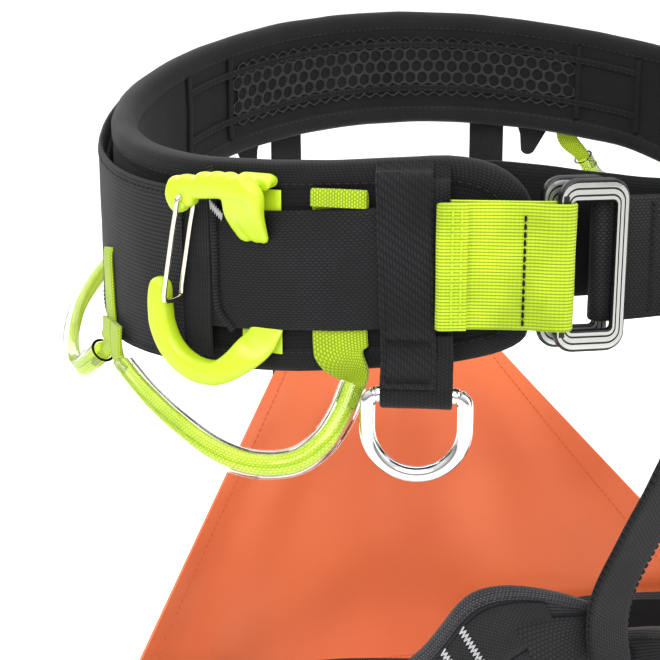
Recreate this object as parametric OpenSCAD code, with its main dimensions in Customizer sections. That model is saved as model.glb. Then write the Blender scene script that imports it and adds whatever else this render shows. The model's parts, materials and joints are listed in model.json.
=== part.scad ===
// Climbing saddle: padded waist belt, leg loops and a coated seat panel.
// Millimetres, +Z up. The wearer faces -Y and the wearer's right is -X.
// The origin is the middle of the waist, level with the side rim of the belt.

/* [Waist] */
// Half-width of the opening inside the belt
waist_a = 176; // [172:1:180]
// Half-depth of the opening inside the belt
waist_b = 136; // [133:1:139]
// Thickness of the hip pad
pad_t = 9; // [8:0.5:9]
// Height of the pad on the hip
pad_h_hip = 86; // [82:1:88]
// Height of the pad at the back
pad_h_back = 57; // [55:1:60]
// Height of the pad at its front ends
pad_h_front = 75; // [73:1:77]

/* [Webbing] */
// Width of the black waist webbing
waist_web_w = 45; // [42:1:46]
// Width of the webbing that holds a side ring
ring_strap_w = 26; // [26:0.5:29]
// Width of the gear-loop webbing
gear_web_w = 21; // [18:1:22]
// Width of the rear risers
rear_riser_w = 19; // [16:1:20]
// Width of the leg risers
leg_riser_w = 17; // [14:1:17]

/* [Hardware] */
// Height of a waist buckle frame
buckle_h = 62.7; // [60:0.1:64]
// Width of a waist buckle frame
buckle_w = 26; // [25:0.5:27]
// Wire thickness of a side D-ring
d_wire = 5.8; // [5:0.1:6]
// Inner width of a side D-ring
d_inner_w = 29.8; // [29.6:0.1:31]
// Radius of the hole in the tie-in ring
tie_hole_r = 16; // [15.5:0.1:16.5]
// Outer diameter of a gear-loop tube
tube_d = 11; // [9:0.5:11]

/* [Legs] */
// Thickness of a leg pad
leg_pad_t = 4; // [3:0.5:5]
// Width of the leg strap
leg_strap_w = 25; // [20:1:26]

/* [Hidden] */
$fn = 48;

// Colours
black = [0.14, 0.14, 0.15];
charcoal = [0.25, 0.25, 0.26];
mesh_grey = [0.42, 0.42, 0.43];
lime = [0.76, 0.91, 0.18];
orange = [0.88, 0.44, 0.25];
steel = [0.8, 0.8, 0.82];
gunmetal = [0.45, 0.45, 0.46];
clear_tube = [0.85, 0.9, 0.75, 0.6];

// The rim of the belt rises to the back by two harmonics
rim_tilt = 15;
rim_wave = 11;
// Angle from the front at which a pad ends, and the angle its rounded nose takes
nose_f = 23.5;
nose_span = 12;
nose_drop = 21;
nose_rise = 9.5;
grid_step = 5;
pad_steps = 58;
mm_per_deg = 3;
// Layers, as distances out from the inner face of the pad
edge_w = 5;
edge_proud = 0.8;
lining_t = 1.2;
shell_t = 1.1;
skin_gap = 0.1;
tab_in = 9.85;
tab_t = 0.7;
web_in = 11.1;
web_t = 2;
lime_in = 13.4;
lime_t = 1.6;
band_in = 13.5;
band_t = 2;
strap_in = 15.3;
strap_t = 1.6;
// Waist hardware
hw_f = 17.6;
hw_z = -45.3;
bar_w = 5;
frame_t = 4;
frame_v = 18.8;
receiver_v = 11.5;
receiver_shift = -3.9;
bar_r = 2.3;
bar_v = frame_v + frame_t / 2;
window_h = 47;
corner_r = 7;
lime_w = 46;
lime_z = -45.3;
strap_z = -44.6;
// Side ring
ring_f = 36.6;
ring_bar_z = -93;
ring_drop = 12.5;
fold_r = 3.3;
ring_bar_v = strap_in + strap_t + fold_r;
// Tool holder
tool_f = 63;
spine_f = 57.5;
tool_v = 21;
tool_r = 4.6;
hook_x = -3;
hook_z = -71;
hook_r = 21.3;
gate_x = -10.5;
gate_z = -25.5;
gate_end = [-18.2, -66];
wire_r = 0.95;
// Tie-in ring
tie_y = -162;
tie_top_z = -60;
tie_stock = 8.5;
tie_r = tie_hole_r + tie_stock / 2;
tie_z = tie_top_z - tie_r;

// ---- Helpers ----

function lerp(a, b, t) = a + (b - a) * t;
function clamp01(t) = min(1, max(0, t));
function smooth(t) = let (s = clamp01(t)) s * s * (3 - 2 * s);
function unit(v) = v / norm(v);
function side_angle(f) = f < 180 ? f : 360 - f;
function reversed(v) = [for (i = [len(v) - 1:-1:0]) v[i]];

// Outward direction of the belt at the angle f from the front towards the wearer's right
function belt_turn(f) = atan2(sin(f) / waist_a, cos(f) / waist_b);
function belt_pt(f, off) =
    [-waist_a * sin(f) - off * sin(belt_turn(f)), -waist_b * cos(f) - off * cos(belt_turn(f))];
function rim_z(f) = rim_tilt * cos(180 - f) + rim_wave * cos(2 * (180 - f));
function pad_h(f) = let (g = side_angle(f))
    g < 90 ? pad_h_front + (pad_h_hip - pad_h_front) * pow(g / 90, 2)
           : lerp(pad_h_hip, pad_h_back, smooth((g - 90) / 50));
function mid_z(f) = rim_z(f) - pad_h(f) / 2;
function steps(from, to, by) = [for (f = [from:by:to]) f];

// Stations of the pad: a rounded nose, the way round, and the other nose.
// Each is [angle, share of the corner drop]; inset moves the outline inwards.
function nose(inset) = let (start = nose_f + inset / mm_per_deg, span = nose_span - inset / mm_per_deg)
    [for (a = [0:15:75]) [start + span * (1 - cos(a)), 1 - sin(a)]];
function pad_stations(inset) = concat(
    nose(inset),
    [for (i = [0:pad_steps]) [lerp(nose_f + nose_span, 360 - nose_f - nose_span, i / pad_steps), 0]],
    [for (s = reversed(nose(inset))) [360 - s[0], s[1]]]);
function pad_top(s, inset) = rim_z(s[0]) - inset - (nose_drop - inset / 2) * s[1];
function pad_bottom(s, inset) = rim_z(s[0]) - pad_h(s[0]) + inset + (nose_rise - inset / 2) * s[1];

// A closed solid through rings of equal length; each ring is one cross-section
function ring_faces(n, k, loop) = [for (i = [0:n - (loop ? 1 : 2)], j = [0:k - 1])
    let (a = i * k + j, b = i * k + (j + 1) % k, c = ((i + 1) % n) * k + (j + 1) % k,
         d = ((i + 1) % n) * k + j)
    each [[a, b, c], [a, c, d]]];
// A cap joins the two long sides of a cross-section, so a bent strip closes too
function cap_faces(n, k) = let (e = (n - 1) * k) [for (j = [0:k / 2 - 2])
    each [[j, k - 2 - j, j + 1], [j, k - 1 - j, k - 2 - j],
          [e + j, e + j + 1, e + k - 2 - j], [e + j, e + k - 2 - j, e + k - 1 - j]]];
function flip_faces(faces) = [for (f = faces) [f[0], f[2], f[1]]];
function signed_sum(p, faces) = let (v = [for (f = faces) p[f[0]] * cross(p[f[1]], p[f[2]])])
    v * [for (x = v) 1];
module skin(rings, loop = false) {
    n = len(rings);
    k = len(rings[0]);
    points = [for (r = rings) each r];
    faces = concat(ring_faces(n, k, loop), loop ? [] : cap_faces(n, k));
    polyhedron(points, signed_sum(points, faces) > 0 ? flip_faces(faces) : faces);
}

// A band that follows the belt; each row is [angle, inner, outer, low z, high z]
module band(rows) {
    skin([for (r = rows) let (a = belt_pt(r[0], r[1]), b = belt_pt(r[0], r[2]))
        [[a.x, a.y, r[3]], [b.x, b.y, r[3]], [b.x, b.y, r[4]], [a.x, a.y, r[4]]]]);
}
module pad_layer(from, to, inset) {
    band([for (s = pad_stations(inset)) [s[0], from, to, pad_bottom(s, inset), pad_top(s, inset)]]);
}

// Local frame on the belt: +X to the viewer's right, -Y straight out, Z up
module on_belt(f, z = 0) {
    p = belt_pt(f, 0);
    translate([p.x, p.y, z]) rotate([0, 0, -belt_turn(f)]) children();
}
// The same place as plan coordinates: x to the viewer's right, v outwards
function plan_pt(f, x, v) = let (p = belt_pt(f, 0), a = belt_turn(f))
    [p.x + x * cos(a) - v * sin(a), p.y - x * sin(a) - v * cos(a)];

// Outline of a line of even thickness
function line_dir(p, i) = unit(p[min(i + 1, len(p) - 1)] - p[max(i - 1, 0)]);
function line_side(p, t) = [for (i = [0:len(p) - 1]) let (d = line_dir(p, i)) p[i] + [-d.y, d.x] * t];
function thick_line(p, t) = concat(line_side(p, t / 2), reversed(line_side(p, -t / 2)));
function arc(c, r, from, to, n) = [for (i = [0:n]) let (a = lerp(from, to, i / n)) c + r * [cos(a), sin(a)]];

module level_strip(path, t, z, w) {
    translate([0, 0, z - w / 2]) linear_extrude(w) polygon(thick_line(path, t));
}
// A strip drawn in the plane of distance out (x) and height (y), w wide along the belt
module cross_strip(path, t, x, w) {
    translate([x + w / 2, 0, 0]) rotate([90, 0, -90]) linear_extrude(w) polygon(thick_line(path, t));
}
module rounded_box(size, r) {
    // Size [x, thickness, z]; the edges along the thickness are round
    for (x = [-1, 1], z = [-1, 1]) translate([x * (size.x / 2 - r), 0, z * (size.z / 2 - r)])
        rotate([90, 0, 0]) cylinder(h = size.y, r = r, center = true);
    cube([size.x - 2 * r, size.y, size.z], center = true);
    cube([size.x, size.y, size.z - 2 * r], center = true);
}
module left() {
    mirror([1, 0, 0]) children();
}

// Smooth closed curve through points
function spline_pt(p, i, t) = let (n = len(p), a = p[(i + n - 1) % n], b = p[i % n],
        c = p[(i + 1) % n], d = p[(i + 2) % n])
    0.5 * (2 * b + (c - a) * t + (2 * a - 5 * b + 4 * c - d) * t * t
        + (3 * b - a - 3 * c + d) * t * t * t);
// Smooth open curve through points
function open_pt(p, i, t) = let (n = len(p), b = p[i], c = p[i + 1],
        a = i > 0 ? p[i - 1] : 2 * b - c, d = i + 2 < n ? p[i + 2] : 2 * c - b)
    0.5 * (2 * b + (c - a) * t + (2 * a - 5 * b + 4 * c - d) * t * t
        + (3 * b - a - 3 * c + d) * t * t * t);
function open_curve(p, n) = concat(
    [for (i = [0:len(p) - 2], j = [0:n - 1]) open_pt(p, i, j / n)], [p[len(p) - 1]]);

// Rings of a round or flat section along a route; up fixes the roll
function route_dir(p, i) = unit(p[min(i + 1, len(p) - 1)] - p[max(i - 1, 0)]);
function route_rings(p, shape, up) = [for (i = [0:len(p) - 1])
    let (t = route_dir(p, i), s = unit(cross(t, up)), u = cross(s, t))
    [for (q = shape) p[i] + q.x * s + q.y * u]];
function round_shape(r, n) = [for (i = [0:n - 1]) r * [cos(360 * i / n), sin(360 * i / n)]];
function flat_shape(w, t) = [[-w / 2, -t / 2], [w / 2, -t / 2], [w / 2, t / 2], [-w / 2, t / 2]];

// ---- Hip pad ----

module pad_lining() color(charcoal) pad_layer(0, lining_t, edge_w + skin_gap);
module pad_core() color("dimgray")
    pad_layer(lining_t + skin_gap, pad_t - shell_t - skin_gap, edge_w + skin_gap);
module pad_shell() color(black) pad_layer(pad_t - shell_t, pad_t, edge_w + skin_gap);

// The bound edge runs along the top, round a nose, and back along the bottom
module pad_binding() {
    outer = pad_stations(0);
    inner = pad_stations(edge_w);
    n = len(outer);
    lo = -edge_proud;
    hi = pad_t + edge_proud;
    function section(f, z, g, y) = let (a = belt_pt(f, lo), b = belt_pt(f, hi), c = belt_pt(g, hi),
            d = belt_pt(g, lo))
        [[a.x, a.y, z], [b.x, b.y, z], [c.x, c.y, y], [d.x, d.y, y]];
    top = [for (i = [0:n - 1]) section(outer[i][0], pad_top(outer[i], 0),
        inner[i][0], pad_top(inner[i], edge_w))];
    bottom = [for (i = [n - 1:-1:0]) section(outer[i][0], pad_bottom(outer[i], 0),
        inner[i][0], pad_bottom(inner[i], edge_w))];
    color(black) skin(concat(top, bottom), loop = true);
}

// Open mesh over the small of the back, on the inside
module lumbar_mesh() color(mesh_grey)
    band([for (f = steps(144, 216, 4.5)) [f, -1.5, -0.3, mid_z(f) - 17, mid_z(f) + 19]]);

// Thin tongue that closes the front behind the buckles
module front_pad() color(black)
    band([for (f = steps(-30, 30, 5)) [f, -4.2, -0.9, -62, -11 - 9 * pow(cos(3 * f), 2)]]);

module support_band() color(black)
    band([for (f = steps(70, 290, grid_step))
        [f, band_in, band_in + band_t, rim_z(f) - pad_h(f) + 2.8,
         rim_z(f) - lerp(10.7, 4, smooth((side_angle(f) - 90) / 60))]]);

module waist_webbing() color(black)
    band([for (f = steps(35, 325, grid_step))
        [f, web_in, web_in + web_t, mid_z(f) - waist_web_w / 2, mid_z(f) + waist_web_w / 2]]);

// ---- Rear risers and tabs ----

riser_f = 161.2;
riser_top = -4;
riser_bottom = -151.5;
module rear_riser_right() color(black) on_belt(riser_f)
    translate([-rear_riser_w / 2, -tab_in - tab_t, riser_bottom])
        cube([rear_riser_w, tab_t, riser_top - riser_bottom]);
module rear_riser_left() left() rear_riser_right();

// Fabric tab with a slot, hanging below the pad's lower edge
tab_f = 152.4;
module accessory_tab_right() color(black) on_belt(tab_f, -30)
    translate([0, -tab_in, 0]) rotate([90, 0, 0]) linear_extrude(tab_t) difference() {
        polygon(concat([[-11.5, 12], [-11.5, -2]], arc([-4, -18], 4, 215, 330, 8),
            [[11.5, -2], [11.5, 12]]));
        translate([-1.5, -12]) square([2.4, 6]);
    }
module accessory_tab_left() left() accessory_tab_right();

// ---- Gear-loop tabs ----

gear_front_f = 46.5;
gear_front_z = [-21, -84];
module gear_tab_front_right() color(lime) on_belt(gear_front_f)
    translate([-gear_web_w / 2, -tab_in - tab_t, gear_front_z[1]])
        cube([gear_web_w, tab_t, gear_front_z[0] - gear_front_z[1]]);
module gear_tab_front_left() left() gear_tab_front_right();

gear_side_f = 88;
module gear_tab_side_right() color(lime) on_belt(gear_side_f)
    translate([-gear_web_w / 2, -17.6, -97]) cube([gear_web_w, 1.5, 36]);
module gear_tab_side_left() left() gear_tab_side_right();

gear_rear_f = 146;
module gear_tab_rear_right() color(lime) on_belt(gear_rear_f)
    translate([-7, -tab_in - tab_t, -50]) cube([9, tab_t, 24]);
module gear_tab_rear_left() left() gear_tab_rear_right();

// ---- Waist buckles and their webbing ----

// Lime webbing from under the side ring, round the frame's bar and back
function adjuster_path() = concat(
    [for (q = [[39.5, 0], [37.5, 0], [35, 0.1], [30, 0.9], [27, 1.9]])
        belt_pt(q[0], lime_in + lime_t / 2 + q[1])],
    [plan_pt(hw_f, -19, 16.6)],
    [for (q = arc([-10.5, bar_v], bar_r + 0.5 + lime_t / 2, -90, 90, 10)) plan_pt(hw_f, q.x, q.y)],
    [plan_pt(hw_f, -16, 23.2), plan_pt(hw_f, -23.5, 19.9)],
    [for (q = [[30, 19.2], [32, 19.6], [33.6, 20.1]]) belt_pt(q[0], q[1])]);
module adjuster_webbing_right() color(lime) {
    level_strip(adjuster_path(), lime_t, lime_z, lime_w);
    level_strip([for (f = [31.6, 32.6, 33.6]) belt_pt(f, 21.6)], 1.4, lime_z, lime_w);
}
module adjuster_webbing_left() left() adjuster_webbing_right();

module bar_section() {
    c = 0.8;
    w = bar_w / 2;
    t = frame_t / 2;
    polygon([[-w, -t + c], [-w + c, -t], [w - c, -t], [w, -t + c], [w, t - c], [w - c, t],
        [-w + c, t], [-w, t - c]]);
}
// Frame in its own plane; round_bar swaps the left bar for a round one
module frame_shape(w, h, window, round_bar, pin_r) {
    cx = w / 2 - corner_r;
    cy = h / 2 - corner_r;
    mid = corner_r - bar_w / 2;
    for (k = [0:3]) translate([(k == 0 || k == 3 ? 1 : -1) * cx, (k < 2 ? 1 : -1) * cy, 0])
        rotate([0, 0, 90 * k]) rotate_extrude(angle = 90) translate([mid, 0]) bar_section();
    for (y = [-1, 1]) translate([-cx, y * (h - bar_w) / 2, 0])
        rotate([90, 0, 90]) linear_extrude(2 * cx) bar_section();
    for (y = [-1, 1]) translate([0, y * (window / 2 + 1.8), 0])
        cube([w - 2 * bar_w + 1, 3.6, frame_t - 1.2], center = true);
    translate([(w - bar_w) / 2, cy, 0]) rotate([90, 0, 0]) linear_extrude(2 * cy) bar_section();
    translate([-(w - bar_w) / 2, 0, 0]) rotate([90, 0, 0])
        if (round_bar) cylinder(h = 2 * cy + 1, r = pin_r, center = true);
        else linear_extrude(2 * cy, center = true) bar_section();
}
module buckle_frame_right() color(gunmetal) on_belt(hw_f, hw_z)
    translate([0, -bar_v, 0]) rotate([90, 0, 0])
        frame_shape(buckle_w, buckle_h, window_h, true, bar_r);
module buckle_frame_left() left() buckle_frame_right();
module buckle_receiver_right() color(gunmetal) on_belt(hw_f, hw_z)
    translate([receiver_shift, -receiver_v - frame_t / 2, 0]) rotate([90, 0, 0])
        frame_shape(buckle_w, buckle_h, window_h, false, bar_r);
module buckle_receiver_left() left() buckle_receiver_right();

// Front strap: one run across the front, rolled round each receiver's bar and sewn back
strap_half = 18.6;
strap_web_t = 1.7;
roll_r = 3.7;
function strap_end() = let (b = [receiver_shift + 10.5, receiver_v + frame_t / 2])
    concat([for (q = arc(b, roll_r, 90, 270, 10)) plan_pt(hw_f, q.x, q.y)],
        [plan_pt(hw_f, 10, 10.4)], [for (f = [13, 10, 7]) belt_pt(f, 12.2)]);
function mirrored(p) = [for (q = reversed(p)) [-q.x, q.y]];
module front_strap() {
    outer = [for (f = [11, 7, 3]) belt_pt(f, f > 10 ? 15.4 : 14.4)];
    half = concat(reversed(strap_end()), [plan_pt(hw_f, 9, 16.4)], outer);
    color(black) level_strip(concat(half, mirrored(half)), strap_web_t, strap_z, waist_web_w);
}

// Webbing loop that holds the tie-in ring on the front strap
module ring_holder() {
    w = 17;
    loop = [[-147.3, -19.6], [-152.6, -17.6], [-167, -50], [-169.5, -60], [-168.4, -68],
        [-161, -71.8], [-152, -72], [-147.3, -70.5]];
    t = 1.7;
    closed = [for (i = [0:len(loop) - 1]) let (a = loop[(i + len(loop) - 1) % len(loop)],
        b = loop[(i + 1) % len(loop)], d = unit(b - a)) loop[i] + t * [-d.y, d.x]];
    color(black) translate([-w / 2, 0, 0]) rotate([90, 0, 90]) linear_extrude(w) difference() {
        polygon(loop);
        polygon(closed);
    }
}

// ---- Side rings ----

function ring_fold() = arc([ring_bar_v, ring_bar_z], fold_r + strap_t / 2, 180, 360, 12);
module ring_strap_right() {
    v = strap_in + strap_t / 2;
    path = concat([[11.2, -13], [12.4, -15.5], [v, -20.5], [v, -60]], ring_fold(),
        [[24.2, -89.5], [v + 3, -80], [v + 2, -76], [v + 2, -71.5]]);
    color(black) on_belt(ring_f) cross_strip(path, strap_t, 0, ring_strap_w);
}
module ring_strap_left() left() ring_strap_right();

module keeper_tape_right() {
    v = strap_in + strap_t / 2;
    path = [[13.4, -12.5], [v + 1.7, -18.5], [v + 1.8, -64], [v + 3.7, -71], [v + 3.8, -75.5],
        [v + 5, -80.5], [26.3, -89]];
    color(charcoal) on_belt(ring_f) cross_strip(path, 1.1, -3, 20);
}
module keeper_tape_left() left() keeper_tape_right();

module d_ring_right() {
    r = d_wire / 2;
    half = d_inner_w / 2 + r;
    color(steel) on_belt(ring_f, ring_bar_z) translate([0, -ring_bar_v, 0]) {
        rotate([0, 90, 0]) cylinder(h = 2 * half, r = r, center = true);
        for (x = [-half, half]) translate([x, 0, 0]) sphere(r);
        for (x = [-half, half]) translate([x, 0, -ring_drop]) cylinder(h = ring_drop, r = r);
        translate([0, 0, -ring_drop]) rotate([90, 180, 0])
            rotate_extrude(angle = 180) translate([half, 0]) circle(r);
    }
}
module d_ring_left() left() d_ring_right();

// ---- Tool holder ----

module tool_holder() {
    depth = 7.9;
    color(lime) difference() {
        union() {
            // Spine behind the waist webbing, with a lip over its top edge and a foot under it
            on_belt(spine_f) translate([-8.5, -10.6, -88]) cube([17, 0.7, 74]);
            on_belt(spine_f) translate([-8, -tool_v - 4, -24.5]) cube([16, tool_v - 5.9, 9]);
            // Top bar with finger ridges
            on_belt(tool_f, -20) translate([4, -tool_v, 0]) rounded_box([36, depth, 9], 4.2);
            on_belt(tool_f, -18.5) for (x = [-1, 6, 13, 19]) translate([x, -tool_v, 0])
                rotate([90, 0, 0]) cylinder(h = depth, r = 4.5, center = true);
            // Head that carries the gate
            on_belt(tool_f, -24) translate([-10.8, -tool_v - 0.25, 0]) rounded_box([12.4, depth, 15], 4);
            // Hook
            on_belt(tool_f, hook_z) translate([hook_x, -tool_v, 0]) {
                rotate([90, 180, 0]) rotate_extrude(angle = 125) translate([hook_r, 0]) circle(tool_r);
                translate([-hook_r, 0, 0]) cylinder(h = 12, r = tool_r);
                translate([-hook_r, 0, 12]) sphere(tool_r);
            }
            hull() {
                on_belt(tool_f, hook_z) translate([hook_x + hook_r * cos(55), -tool_v, -hook_r * sin(55)])
                    sphere(tool_r, $fn = 24);
                on_belt(spine_f) translate([-7.5, -13.5, -86]) cube([15, 3.6, 7]);
            }
        }
        on_belt(tool_f, gate_z) translate([gate_x, -tool_v, 0]) rotate([90, 0, 0])
            cylinder(h = 20, r = wire_r + 0.06, center = true);
    }
}

module tool_gate() {
    span = gate_end - [gate_x, gate_z];
    lean = atan2(-span.x, -span.y);
    reach = norm(span);
    color(steel) on_belt(tool_f, gate_z) translate([gate_x, -tool_v, 0]) rotate([0, lean, 0]) {
        rotate([90, 0, 0]) cylinder(h = 10.4, r = wire_r, center = true);
        for (y = [-5.2, 5.2]) translate([0, y, -reach]) cylinder(h = reach, r = wire_r);
        for (y = [-5.2, 5.2], z = [0, -reach]) translate([0, y, z]) sphere(wire_r);
        translate([0, 0, -reach]) rotate([90, 0, 0]) cylinder(h = 10.4, r = wire_r, center = true);
    }
}

// ---- Gear loops ----

front_route = [[-131, -107, -93], [-137, -109.5, -103], [-145, -111, -112], [-155, -108, -119],
    [-167, -100, -121], [-177, -88, -119], [-185, -70, -114], [-191, -45, -108], [-194, -20, -102]];
rear_route = [[-195, 8, -102], [-198, 15, -108], [-200, 25, -113], [-199, 42, -113],
    [-194, 62, -107], [-183, 83, -97], [-165, 102, -86], [-142, 116, -77], [-122, 122, -67],
    [-111, 121, -54]];
tube_wall = 1.3;
web_reach = 3;
module gear_tube(route) {
    p = open_curve(route, 3);
    color(clear_tube) difference() {
        skin(route_rings(p, round_shape(tube_d / 2, 10), [0, 0, 1]));
        skin(route_rings(concat([2 * p[0] - p[1]], p, [2 * p[len(p) - 1] - p[len(p) - 2]]),
            round_shape(tube_d / 2 - tube_wall, 10), [0, 0, 1]));
    }
}
module gear_webbing(route) {
    p = open_curve(route, 3);
    n = len(p) - 1;
    ends = concat([p[0] + web_reach * unit(p[0] - p[1])], p, [p[n] + web_reach * unit(p[n] - p[n - 1])]);
    color(lime) skin(route_rings(ends, flat_shape(6.4, 3.6), [0, 0, 1]));
}
module gear_tube_front_right() gear_tube(front_route);
module gear_tube_front_left() left() gear_tube(front_route);
module gear_tube_rear_right() gear_tube(rear_route);
module gear_tube_rear_left() left() gear_tube(rear_route);
module gear_webbing_front_right() gear_webbing(front_route);
module gear_webbing_front_left() left() gear_webbing(front_route);
module gear_webbing_rear_right() gear_webbing(rear_route);
module gear_webbing_rear_left() left() gear_webbing(rear_route);

// ---- Tie-in ring and leg risers ----

module tie_in_ring() {
    w = tie_stock / 2;
    flat = 3;
    color(gunmetal) translate([0, tie_y, tie_z]) rotate([90, 0, 0]) rotate_extrude($fn = 96)
        translate([tie_r, 0]) polygon([[-w, -flat], [-w, flat], [-flat, w], [flat, w], [w, flat],
            [w, -flat], [flat, -w], [-flat, -w]]);
}

riser_turn = 36;
riser_route = [[-16.5, -162, -103], [-19, -161, -113], [-25, -158, -130], [-32, -152, -152],
    [-38, -145.5, -175], [-38.5, -142, -192], [-35, -141.5, -212]];
module leg_riser_right() color(black) {
    translate([0, tie_y, tie_z]) rotate([0, riser_turn, 0]) translate([0, 0, -tie_r])
        rotate([0, 90, 0]) difference() {
            cylinder(h = leg_riser_w - 2, r = 9, center = true);
            cylinder(h = leg_riser_w, r = 7.2, center = true);
        }
    p = open_curve(riser_route, 3);
    skin(route_rings(p, flat_shape(leg_riser_w, 3), [0, -1, 0]));
}
module leg_riser_left() left() leg_riser_right();

// ---- Leg loops ----

leg_upper = [[-44, -135, -184], [-88, -130, -174], [-107, -110, -208], [-146, -66, -259],
    [-172, -5, -287], [-160, 66, -303], [-112, 110, -316], [-56, 96, -316], [-14, 35, -294],
    [-9, -30, -258], [-14, -88, -228], [-20, -120, -212]];
leg_lower = [[-34, -133, -210], [-50, -128, -238], [-76, -118, -264], [-118, -86, -304],
    [-162, -12, -340], [-148, 51, -348], [-112, 97, -352], [-56, 90, -352], [-20, 33, -342],
    [-15, -32, -308], [-20, -90, -270], [-27, -119, -238]];
leg_div = 5;
leg_n = len(leg_upper) * leg_div;
function leg_edge(p, i) = spline_pt(p, floor(i / leg_div) % len(p), (i % leg_div) / leg_div);
function leg_mid(i) = (leg_edge(leg_upper, i) + leg_edge(leg_lower, i)) / 2;
function leg_up(i) = unit(leg_edge(leg_upper, i) - leg_edge(leg_lower, i));
function leg_dir(i) = unit(leg_mid((i + 1) % leg_n) - leg_mid((i + leg_n - 1) % leg_n));
function leg_out(i) = unit(cross(leg_up(i), leg_dir(i)));
module leg_pad_right() color(black) skin([for (i = [0:leg_n - 1])
    let (u = leg_edge(leg_upper, i), l = leg_edge(leg_lower, i), o = leg_out(i) * leg_pad_t / 2)
        [l - o, l + o, u + o, u - o]], loop = true);
module leg_pad_left() left() leg_pad_right();

leg_strap_from = 13;
leg_strap_to = 50;
module leg_strap_right() color(charcoal) skin([for (i = [leg_strap_from:leg_strap_to])
    let (m = leg_mid(i), u = leg_up(i) * leg_strap_w / 2, a = leg_out(i) * (leg_pad_t / 2 + 0.8),
         b = leg_out(i) * (leg_pad_t / 2 + 2.3)) [m - u + a, m - u + b, m + u + b, m + u + a]]);
module leg_strap_left() left() leg_strap_right();

// The strap's tail turns round the buckle's bar and lies back on the strap
leg_frame_w = 24;
leg_frame_h = 42;
leg_frame_i = 17;
leg_frame_d = 13.4;
leg_base_d = 6.4;
module leg_tail_right() {
    bar = [-(leg_frame_w - bar_w) / 2, leg_frame_d];
    path = concat([[-26, 5.2], [-20, 7], [-13.5, 9.4]], arc(bar, bar_r + 1.3, -90, 90, 10),
        [[-16, 15.6], [-26, 9.4], [-33, 7]]);
    color(black) on_leg(leg_frame_i, 0) translate([0, 0, -leg_strap_w / 2])
        linear_extrude(leg_strap_w) polygon(thick_line(path, 1.6));
}
module leg_tail_left() left() leg_tail_right();

// A frame fixed by its place along the leg loop, d out from the middle of the pad
module on_leg(i, d) {
    t = leg_dir(i);
    w = leg_up(i);
    y = cross(w, t);
    translate(leg_mid(i) + leg_out(i) * d)
        rotate([atan2(y.z, w.z), -asin(t.z), atan2(t.y, t.x)]) children();
}
module leg_buckle_base_right() color(gunmetal) on_leg(leg_frame_i, leg_base_d) rotate([90, 0, 0])
    frame_shape(leg_frame_w, leg_frame_h, leg_strap_w + 2, false, bar_r);
module leg_buckle_base_left() left() leg_buckle_base_right();
module leg_buckle_frame_right() color(gunmetal) on_leg(leg_frame_i, leg_frame_d) rotate([90, 0, 0])
    frame_shape(leg_frame_w, leg_frame_h, leg_strap_w + 2, true, bar_r);
module leg_buckle_frame_left() left() leg_buckle_frame_right();

// ---- Seat panel ----

panel_top = -152;
panel_bottom = -362;
panel_t = 1.6;
panel_rows = 14;
panel_cols = 16;
// Half-width and the edge's and middle's depth at the height z
function panel_half(z) = 60 + 0.814 * min(-152 - z, 158) - 12 * pow(clamp01((-310 - z) / 42), 2);
function panel_edge_y(z) = 137.5 - 0.536 * (-160 - z);
function panel_mid_y(z) = 138 + 12 * smooth((-160 - z) / 90);
function panel_z(i, u) = let (v = i / panel_rows)
    lerp(panel_top, panel_bottom + 14 * pow(abs(u), 3), v);
function panel_pt(i, u, d) = let (z = panel_z(i, u), h = panel_half(z), a = pow(abs(u), 2.2))
    [h * u, lerp(panel_mid_y(z), panel_edge_y(z), a) + d, z];
module seat_panel() color(orange) skin([for (i = [0:panel_rows]) concat(
    [for (j = [0:panel_cols]) panel_pt(i, 2 * j / panel_cols - 1, -panel_t / 2)],
    [for (j = [panel_cols:-1:0]) panel_pt(i, 2 * j / panel_cols - 1, panel_t / 2)])]);

pad_lining();
pad_core();
pad_shell();
pad_binding();
lumbar_mesh();
front_pad();
support_band();
waist_webbing();
rear_riser_right();
rear_riser_left();
accessory_tab_right();
accessory_tab_left();
gear_tab_front_right();
gear_tab_front_left();
gear_tab_side_right();
gear_tab_side_left();
gear_tab_rear_right();
gear_tab_rear_left();
adjuster_webbing_right();
adjuster_webbing_left();
buckle_receiver_right();
buckle_receiver_left();
buckle_frame_right();
buckle_frame_left();
front_strap();
ring_holder();
ring_strap_right();
ring_strap_left();
keeper_tape_right();
keeper_tape_left();
d_ring_right();
d_ring_left();
tool_holder();
tool_gate();
gear_tube_front_right();
gear_tube_front_left();
gear_tube_rear_right();
gear_tube_rear_left();
gear_webbing_front_right();
gear_webbing_front_left();
gear_webbing_rear_right();
gear_webbing_rear_left();
tie_in_ring();
leg_riser_right();
leg_riser_left();
leg_pad_right();
leg_pad_left();
leg_strap_right();
leg_strap_left();
leg_tail_right();
leg_tail_left();
leg_buckle_base_right();
leg_buckle_base_left();
leg_buckle_frame_right();
leg_buckle_frame_left();
seat_panel();
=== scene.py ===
"""Climbing saddle: the finished pieces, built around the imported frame.

All shapes are worked out in millimetres on the same waist line as the CAD part,
and turned to metres when a mesh is made. The wearer faces -Y; the wearer's right is -X.
"""

import json
import logging
import math
from collections.abc import Callable, Iterable, Sequence
from dataclasses import dataclass
from enum import Enum
from typing import ClassVar

import bmesh
import bpy
import numpy as np
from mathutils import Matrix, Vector, noise

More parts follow.
